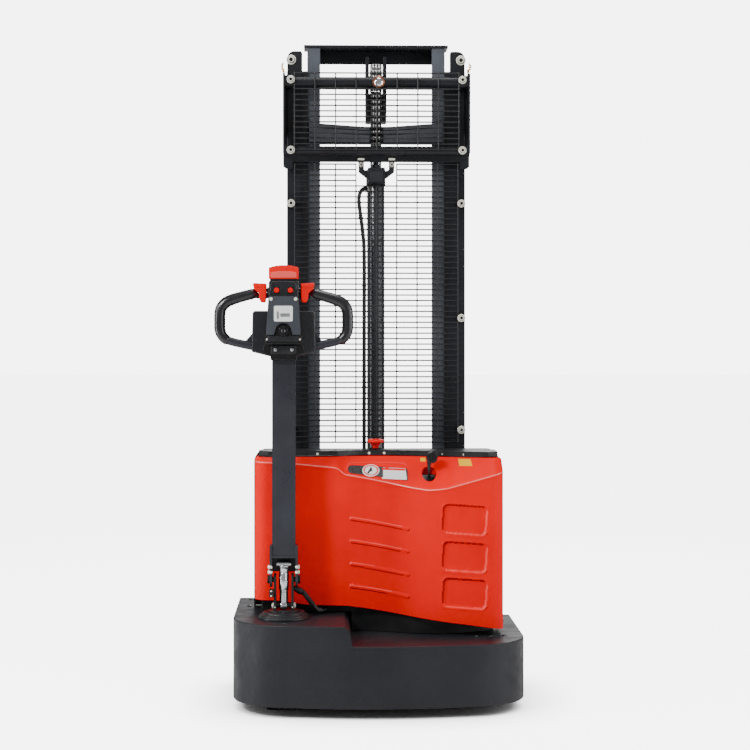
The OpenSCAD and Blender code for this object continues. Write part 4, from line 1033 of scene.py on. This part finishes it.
# cylinder
z0 = 54
lathe([(21, z0 + 30), (21, BARREL_TOP - 25), (17.6, BARREL_TOP - 24), (17.6, BARREL_TOP),
    (24.5, BARREL_TOP), (26, BARREL_TOP - 1.5), (26.4, BARREL_TOP - 30), (BARREL_R, BARREL_TOP - 32),
    (BARREL_R, z0 + 33), (29.5, z0 + 30), (31, z0 + 25), (31, z0), (0, z0), (0, z0 + 30)], up(0, CYL_Y), 48)
piece("cylinder_barrel", "barrel", "chassis", "lift_cylinder")
lathe([(0, 100), (20.9, 100), (20.9, 131), (17.5, 131), (17.5, 1738), (16.5, 1744),
    (0, 1744)], up(0, CYL_Y), 40)
piece("cylinder_rod", "chrome", "inner_mast", "lift_rod")
lathe([(17.7, 0), (22.5, 0), (23, 3), (21, 6), (18.5, 7), (17.7, 6)], up(0, CYL_Y, BARREL_TOP + 0.2), 36)
piece("cylinder_wiper", "rubber")
prism(rect(-19, 1556, 19, 1588, 3), out(0, 426, 0), 0, 4)
piece("clamp_plate", "motor", edge=1.2)
keys = rect(-37, 1629, -57, 1623, 1.5), rect(37, 1623, 57, 1629, 1.5)
washer_bolts("clamp_bolts", "clamp_socket_shade", [(out(s * 47, 432, 1609), 7.5, 5) for s in (-1, 1)],
    extra=[(prism, key, out(0, 441, 0), 0, 10) for key in keys])

hose = [(-28, 489, 1538), (-34, 470, 1540), (-46, 458, 1532), (-53, 456, 1508), (-50, 456, 1470),
    (-41, 456, 1400), (-37, 456, 1330), (-37, 456, 1100), (-37, 456, 900), (-37, 456, 560), (-37, 453, 400),
    (-37, 453, 350.4)]
sweep(curve(hose, 8), 6, 16)
piece("lift_hose_tube", "hose", "chassis", "lift_hose")
top = Vector(hose[0])
sweep([top + Vector((4, 4, -1)), top + Vector((0, 0, 0)), top + Vector((-5, -13, 1.4))],
    lambda t: 9 - 2 * smooth(2 * t - 0.8), 6)
lathe([(6.4, 350.6), (9.5, 350.6), (9.5, 362), (7.5, 364), (7.5, 384), (6.4, 386)], up(-37, 453), 20)
piece("hose_fittings", "zinc")
for x, z in ((-47.5, 1450), (-37, 1240), (-37, 930), (-37, 640)):
    lathe([(6.1, -2), (7.4, -2), (7.4, 2), (6.1, 2)], up(x, 456, z), 20)
    box((x - 3, 447, z - 2.5), (x + 3, 450, z + 2.5))
piece("hose_ties", "plug")


def link(a, b, inner):
    """One link between two pins, given as (y, z): four waisted plates and the bright rollers on a pin."""
    a, b = Vector(a), Vector(b)
    along = (b - a).normalized()
    over = Vector((-along.y, along.x))
    length, r = (b - a).length, 5.8
    outline = [(-r * cos(t), r * sin(t)) for t in (pi * (k / 4 - 0.5) for k in range(5))]
    outline += [(length / 2, r * 0.75)]
    outline += [(length + r * cos(t), r * sin(t)) for t in (pi * (0.5 - k / 4) for k in range(5))]
    outline += [(length / 2, -r * 0.75)]

    def place(u, v, w):
        p = a + along * u + over * v
        return (w, p.x, p.y)
    for x in ((-12.2, -5.6, 3.6, 12.2) if inner else (-14.6, -3.6, 5.6, 14.6)):
        prism(outline, place, x - 0.9, x + 0.9)
    before = len(bm.faces)
    pin(5.2, -15.9, 15.9, place, 10)
    bm.faces.ensure_lookup_table()
    for f in bm.faces[before:]:
        f.material_index = 1


def stepped(obj):
    """Bakes obj's placement into its mesh."""
    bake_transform(obj)


# chains
front_y, rear_y = PULLEY_Y + CHAIN_R, PULLEY_Y - CHAIN_R
top, parts, stretch = PULLEY_Z, 6, 12  # a sixth of the lift is twelve links
look = ("chain", "pins")
weights = []
for i in range(82):
    low = top - (82 - i) * PITCH
    link((front_y, low), (front_y, low + PITCH), i % 2)
    weights += [1 - (i // stretch) / parts] * (len(bm.verts) - len(weights))
o = piece("chain_front_strand", look, None)
stepped(o)
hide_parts("chain_front")

turn = [pi * k / 7 for k in range(8)]
loop = [(PULLEY_Y + CHAIN_R * cos(t), top + CHAIN_R * sin(t)) for t in turn]
for i, (p, q) in enumerate(zip(loop, loop[1:])):
    link(p, q, i % 2)
piece("chain_loop", look, "inner_mast")

weights = []
for j in range(parts + 1):
    first = len(bm.verts)
    for i in range(13):
        link((rear_y, top - i * PITCH), (rear_y, top - (i + 1) * PITCH), (i + 1) % 2)
    bm.verts.ensure_lookup_table()
    slim = 1 - 0.012 * j
    for v in bm.verts[first:]:
        v.co.x *= slim
        v.co.y = rear_y + (v.co.y - rear_y) * slim
    weights += [j / parts] * (len(bm.verts) - first)
o = piece("chain_rear_strand", look, None)
anchor = top - 13 * PITCH
stepped(o)
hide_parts("chain_rear")

prism(rounded(mirrored([(17, 1620), (17, 1636), (14, 1650)]), 2), out(0, rear_y + 4, 0), -3, 12)
pin(3.6, -19, 19, right(0, rear_y, anchor), 12)
piece("chain_anchor", "frame", edge=1)
pin(6, 296, 331, up(0, front_y + 5), 16)
lathe([(0, 314), (10, 314), (10.4, 315), (10.4, 322), (10, 323), (0, 323)], up(0, front_y + 5), 6)
box((-16, front_y - 8, 341), (16, front_y + 8, 357))
piece("chain_end", "axle", "carriage", edge=0.8)
lathe([(10.1, -18), (40, -18), (44, -17), (44, -15.2), (38, -14.6), (36, -13), (36, 13), (38, 14.6),
    (44, 15.2), (44, 17), (40, 18), (10.1, 18)], right(0, PULLEY_Y, PULLEY_Z), 56)
piece("chain_sheave", "roller", "chain_wheel", "chain_pulley")

# ---------------- base, wheels, carriage and forks

# base
for node, mat, width in (("base_cover", "cover", 6.0), ("base_frame", "frame", 1.5),
        ("leg_left", "frame", 2.0), ("leg_right", "frame", 2.0), ("battery_tray", "tray", 1.5),
        ("carriage_frame", "frame", 2.0), ("fork_left", "fork", 3.0), ("fork_right", "fork", 3.0)):
    refine(node, mat, width, 3)
for x, y in ((283, 168), (326, 172), (369, 190), (-386, 420), (386, 470), (-386, 560), (386, 560)):
    z = 207 if x > 0 else 263
    lathe([(0, 0.3), (8, 0.3), (8.6, 1.2), (8, 2.2), (5.6, 2.8), (5, 1.4), (0, 1.4)], up(x, y, z), 28)
piece("deck_screws", "plug")
for s in (-1, 1):
    for y in (640, 900, 1200):
        lathe([(0, 0), (7, 0), (7, 3), (5.5, 5), (0, 5)], side(s, s * 270, y, 52), 6)
    lathe([(0, -0.4), (13, -0.4), (13, 2.4), (11, 3.4), (9, 3.4), (8.4, 1.5), (0, 1.5)],
        side(s, s * 270, 1440, 37), 28)
piece("leg_bolts", "zinc")
for s in (-1, 1):
    for x in (105 + 22, 285 - 22):
        prism([(690, 90.5), (760, 90.5), (690, 190)], right(s * x, 0, 0), -6, 6)
piece("heel_gussets", "fork", "carriage", edge=1.5)

# The black screen that closes the gap beside the step, under the hood.
box((-128, 364, 209), (-40, 367, 286))
piece("step_screen", "tray", edge=0.8)

# wheels
cx, cz, r = TX - 15, 105, 105
tyre = [(72, -35), (98, -35), (103, -33), (r, -29), (r, -21), (103.5, -20), (103.5, -17), (r, -16), (r, -2),
    (103.5, -1), (103.5, 2), (r, 3), (r, 16), (103.5, 17), (103.5, 20), (r, 21), (r, 29), (103, 33),
    (98, 35), (24.05, 35), (24.05, -23), (66, -23), (70, -30)]
lathe(tyre + [tyre[0]], right(cx, TY, cz), 96)
piece("drive_tyre", "tyre", "drive_wheel", "drive_wheel", angle=30)
for k in range(6):
    a = pi * k / 3
    pin(7, 22, 27, left(cx, TY + 48 * cos(a), cz + 48 * sin(a)), 6)
lathe([(24.2, 22.6), (34, 22.6), (34, 25), (24.2, 26)], left(cx, TY, cz), 40)
piece("drive_wheel_nuts", "axle", "drive_wheel")

x, y, z = 300, 225, 62.5
lathe(both_ways([(38, -20), (40, -24), (56, -24), (61, -21), (62.5, -14)]), right(x, y, z), 72)
piece("caster_tyre", "tyre", "caster_wheel", "caster_wheel", angle=30)
lathe(both_ways([(8.1, -24), (16, -24), (17, -19), (36, -14), (38.4, -19)]), right(x, y, z), 48)
piece("caster_rim", "alu", "caster_wheel")
refine("caster_fork", "axle", 1.5)

for s, name in ((-1, "load_wheel_left"), (1, "load_wheel_right")):
    place = right(s * 195, 1440, 37)
    lathe(both_ways([(27, -59), (33, -59), (36, -57), (37, -52)]), place, 56)
    piece(name + "_tyre", "poly", name, name)
    lathe(both_ways([(10.1, -58), (15, -58), (16, -56.5), (25, -56.5), (27.2, -58)]), place, 40)
    piece(name + "_hub", "roller", name)

for node, z, r, x0, x1 in (("inner_mast_rollers", 130, 42.7, 229, 262),
        ("carriage_upper_rollers", 440, 37.5, 184, 203), ("carriage_lower_rollers", 130, 37.5, 184, 203)):
    for place in (right(0, 525, z), left(0, 525, z)):
        profile = [(12.1, x0), (20, x0), (21, x0 + 1.5), (29, x0 + 1.5), (30, x0), (r - 2, x0), (r, x0 + 2),
            (r, x1 - 2), (r - 2, x1), (30, x1), (29, x1 - 1.5), (21, x1 - 1.5), (20, x1), (12.1, x1),
            (12.1, x0)]
        lathe(profile, place, 48)
    piece(node + "_turned", "roller", NODES[node]["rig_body"], node)

# What stands under the hood: batteries with caps and cables, tank, motor, controller, charger.
for node, mat in (("leg_axles", "axle"), ("drive_gearbox", "alu"), ("drive_motor", "motor")):
    repaint(node, mat)
for node, mat, width in (("batteries", "battery", 3), ("oil_tank", "tank", 4), ("pump_motor", "motor", 2),
        ("motor_controller", "alu", 1), ("battery_charger", "charger", 2)):
    refine(node, mat, width)
z = 487
for x0 in (-335, 5):
    for k in range(6):
        lathe([(0, -2), (9.4, -2), (9.4, 3), (8, 4.5), (0, 4.5)], up(x0 + 40 + 50 * k, 390, z), 16)
piece("battery_caps", "tank")
for x0, x1 in ((-295, 45), (-45, 295)):
    rise = 12 if x0 < -200 else 22
    sweep(curve([(x0, 340, z + 12), (x0 + 20, 336, z + 12 + rise), (0.5 * (x0 + x1), 330, z + 6 + rise),
        (x1 - 20, 336, z + 12 + rise), (x1, 340, z + 12)], 6), 5, 10, round_ends=True)
piece("battery_cables", "rubber")

# ---------------- floor and light


def camera_only(tree, seen, shader, near=0.0):
    """Mixes in a plain glow that only the camera sees, so that it lights nothing. With near, the glow fades
    by ambient occlusion close under the machine, a painted contact shadow."""
    n, link_ = tree.nodes, tree.links.new
    glow, mix = n.new("ShaderNodeEmission"), n.new("ShaderNodeAddShader")
    none, pick = n.new("ShaderNodeEmission"), n.new("ShaderNodeMixShader")
    put(glow, Strength=seen)
    put(none, Strength=0)
    link_(n.new("ShaderNodeLightPath").outputs["Is Camera Ray"], pick.inputs["Fac"])
    link_(none.outputs[0], pick.inputs[1])
    link_(glow.outputs[0], pick.inputs[2])
    if near:
        shade, level = n.new("ShaderNodeAmbientOcclusion"), n.new("ShaderNodeMapRange")
        put(shade, Distance=near)
        put(level, From_Min=0.2, To_Max=seen)
        link_(shade.outputs["AO"], level.inputs["Value"])
        link_(level.outputs["Result"], glow.inputs["Strength"])
    link_(shader.outputs[0], mix.inputs[0])
    link_(pick.outputs[0], mix.inputs[1])
    return mix


# floor
me = bpy.data.meshes.new("floor")
s = 60.0
me.from_pydata([(-s, -s, 0), (s, -s, 0), (s, s, 0), (-s, s, 0)], [], [(0, 1, 2, 3)])
o = add("floor", me)
m = bpy.data.materials.new("floor_pale")
m.use_nodes = True
t = m.node_tree
b = t.nodes["Principled BSDF"]
put(b, Base_Color=(0.85, 0.85, 0.85, 1), Roughness=0.85, Specular_IOR_Level=0.1)
# The floor's glow fades into a painted contact shadow under the machine.
t.links.new(camera_only(t, 5.2, b, near=0.2).outputs[0], t.nodes["Material Output"].inputs["Surface"])
me.materials.append(m)


def area(name, x, y, z, power, size, size_y=None):
    """A soft lamp aimed at the middle of the machine."""
    d = bpy.data.lights.new(name, "AREA")
    d.energy, d.size = power, size
    if size_y:
        d.shape, d.size_y = "RECTANGLE", size_y
    o = add(name, d)
    o.location = at(x, y, z)
    o.rotation_euler = (at(0, 300, 900) - o.location).to_track_quat("-Z", "Y").to_euler()


# studio
world = bpy.data.worlds.new("studio")
bpy.context.scene.world = world
world.use_nodes = True
t = world.node_tree
light = t.nodes["Background"]
put(light, Color=(1, 1, 1, 1), Strength=0.34)
t.links.new(camera_only(t, 5.8, light).outputs[0], t.nodes["World Output"].inputs["Surface"])
area("key", -3000, -2600, 3400, 150, 0.8)
area("fill", 3000, -2400, 1500, 30, 0.9, size_y=2.6)
area("strip_left", -2600, -300, 1300, 40, 0.4, size_y=2.6)
area("strip_right", 2600, -300, 1300, 30, 0.4, size_y=2.6)
area("top", 0, 200, 3900, 55, 1.6)
area("back", 600, 4200, 2600, 50, 2.4)
